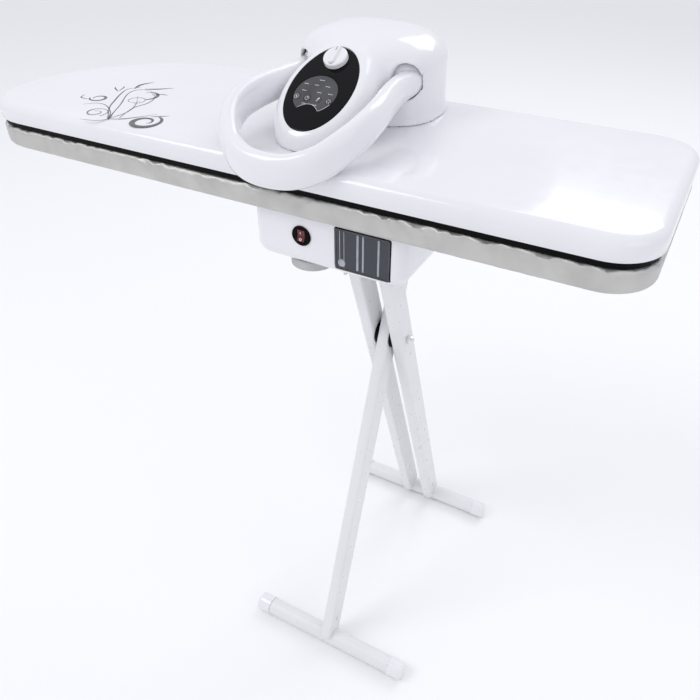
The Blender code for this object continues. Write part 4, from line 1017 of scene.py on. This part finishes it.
def make_tank():
    """Smoked tank front: a bevelled block with upright ribs and a round drain plug."""
    low, high = TANK_LOW, TANK_HIGH
    front = low.y
    ribs = bmesh.new()
    for share, width in ((0.09, 0.0008), (0.17, 0.0007), (0.42, 0.0028), (0.52, 0.0022), (0.80, 0.0024)):
        x = low.x + (high.x - low.x) * share
        foot = (x - width / 2, front - 0.0004, low.z + 0.0035)
        head = (x + width / 2, front + 0.0006, high.z - 0.002)
        ribs = join(ribs, box(foot, head, width * 0.3))
    add_piece("tank_ribs", ribs, "rib", "tank")
    plug = turned(
        [(0, 0.0040), (0.0004, 0.0046), (0.0032, 0.0046), (0.0038, 0.0042), (0.0040, 0.0032)],
        Vector((low.x + 0.0075, front + 0.0036, low.z + 0.0080)), -Y_AXIS, 48,
    )
    add_piece("tank_drain_plug", plug, "rib", "tank")
    lip = []
    for inset, depth in ((0.0, 0.0010), (0.0, -0.0004), (0.0016, -0.0004), (0.0016, 0.0010)):
        shape = rounded_rectangle(low.x + inset, high.x - inset, low.z + inset, high.z - inset, 0.0018, 4)
        lip.append([Vector((x, front + depth, z)) for x, z in shape])
    add_piece("tank_lip", loft(lip, caps=False), "smoke_grey", "tank")


def make_switch():
    """The switch's round bezel, with a window for its rocker."""
    centre = (BEZEL_LOW + BEZEL_HIGH) / 2
    face = BEZEL_LOW.y
    profile = [(0, 0.0097), (0.0125, 0.0097), (0.0125, 0.0112), (0.0128, 0.0115), (0.0134, 0.0114)]
    profile += [(0.0139, 0.0108), (0.0140, 0.0099)]
    start = Vector((centre.x, face + profile[-1][0], centre.z))
    bezel = add_piece("switch_ring", turned(profile, start, -Y_AXIS, 72), "black_plastic", "base", 30)
    half = Vector((0.0050, 0, 0.0078))
    low, high = centre - half, centre + half
    low.y, high.y = face - 0.003, face + 0.008
    cut(bezel, box(low, high, 0.0006, 2))
    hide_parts("switch_bezel")


def make_switch_marks():
    """The line and the ring printed on the rocker, for on and off."""
    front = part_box("switch_rocker")[0].y
    centre = (BEZEL_LOW + BEZEL_HIGH) / 2
    half_line = 0.0003
    low = (centre.x - half_line, front + 0.0004, centre.z + 0.0026)
    high = (centre.x + half_line, front + 0.0011, centre.z + 0.0052)
    marks = box(low, high, 0.0001, 1)
    rings = []
    for radius, depth in ((0.0010, 0.0), (0.0015, 0.0), (0.0015, 0.0012), (0.0010, 0.0012)):
        y = front - 0.0002 + depth
        circle = oval(radius, radius, 24)
        rings.append([Vector((centre.x + x, y, centre.z - 0.0035 + z)) for x, z in circle])
    marks = join(marks, loft(rings, caps=False))
    add_piece("switch_marks", marks, "mark", "rocker")


# ---------------------------------------------------------------- the frame's own nodes
def dress_frame():
    """Gives each CAD node the finish of its slot in the record."""
    for part in frame["record"]["subparts"]:
        obj, slot = frame["nodes"][part["node"]], part["material_slot"]
        obj.data.materials.clear()
        obj.data.materials.append(LOOKS[slot].material)


# ---------------------------------------------------------------- studio
def make_studio():
    """Pale floor, an even pale sky and three soft lamps."""
    world = bpy.data.worlds.new("studio")
    world.use_nodes = True
    sky = world.node_tree.nodes["Background"].inputs
    sky["Color"].default_value, sky["Strength"].default_value = (0.93, 0.94, 1.0, 1), 0.86
    bpy.context.scene.world = world
    bm = bmesh.new()
    bmesh.ops.create_grid(bm, x_segments=4, y_segments=4, size=30)
    mesh = bpy.data.meshes.new("floor")
    bm.to_mesh(mesh)
    bm.free()
    finish = Look("white_floor", (0.93, 0.93, 0.93), 0.6).vary_roughness(3, 0.55, 0.65)
    mesh.materials.append(finish.material)
    floor = bpy.data.objects.new("floor", mesh)
    bpy.context.scene.collection.objects.link(floor)
    for name, place, size, power, colour in (
        ("key", (-1.6, -1.6, 3.0), 1.4, 24, (1, 0.99, 0.97)),
        ("fill", (2.4, -1.0, 1.9), 1.8, 5, (0.93, 0.95, 1)),
        ("back", (0.4, 2.2, 2.6), 1.6, 16, (1, 1, 1)),
    ):
        light = bpy.data.lights.new(name, "AREA")
        light.size, light.energy, light.color = size, power, colour
        lamp = bpy.data.objects.new(name, light)
        lamp.location = place
        lamp.rotation_euler = (Vector((0, 0, 0.6)) - Vector(place)).to_track_quat("-Z", "Y").to_euler()
        bpy.context.scene.collection.objects.link(lamp)


def make_camera():
    """The photograph's point of view: right of the middle, in front and above, looking down."""
    camera = bpy.data.cameras.new("camera")
    camera.lens, camera.sensor_width = 36, 36
    camera.clip_start, camera.clip_end = 0.05, 60
    bpy.context.scene.view_settings.view_transform = "Standard"
    obj = bpy.data.objects.new("camera", camera)
    azimuth, tilt = math.radians(28.673), math.radians(36.87)
    ahead = Vector((-math.sin(azimuth) * math.cos(tilt), math.cos(azimuth) * math.cos(tilt), -math.sin(tilt)))
    obj.location = (0.421, -0.683, 1.010)
    obj.rotation_euler = ahead.to_track_quat("-Z", "Y").to_euler()
    bpy.context.scene.collection.objects.link(obj)
    bpy.context.scene.camera = obj


make_shell()
make_tower()
make_fascia()
make_display()
make_labels()
make_keys()
make_knob()
make_handle()
make_scroll()
make_cover()
make_housing()
make_tank()
make_switch()
make_switch_marks()
dress_frame()
make_studio()
make_camera()
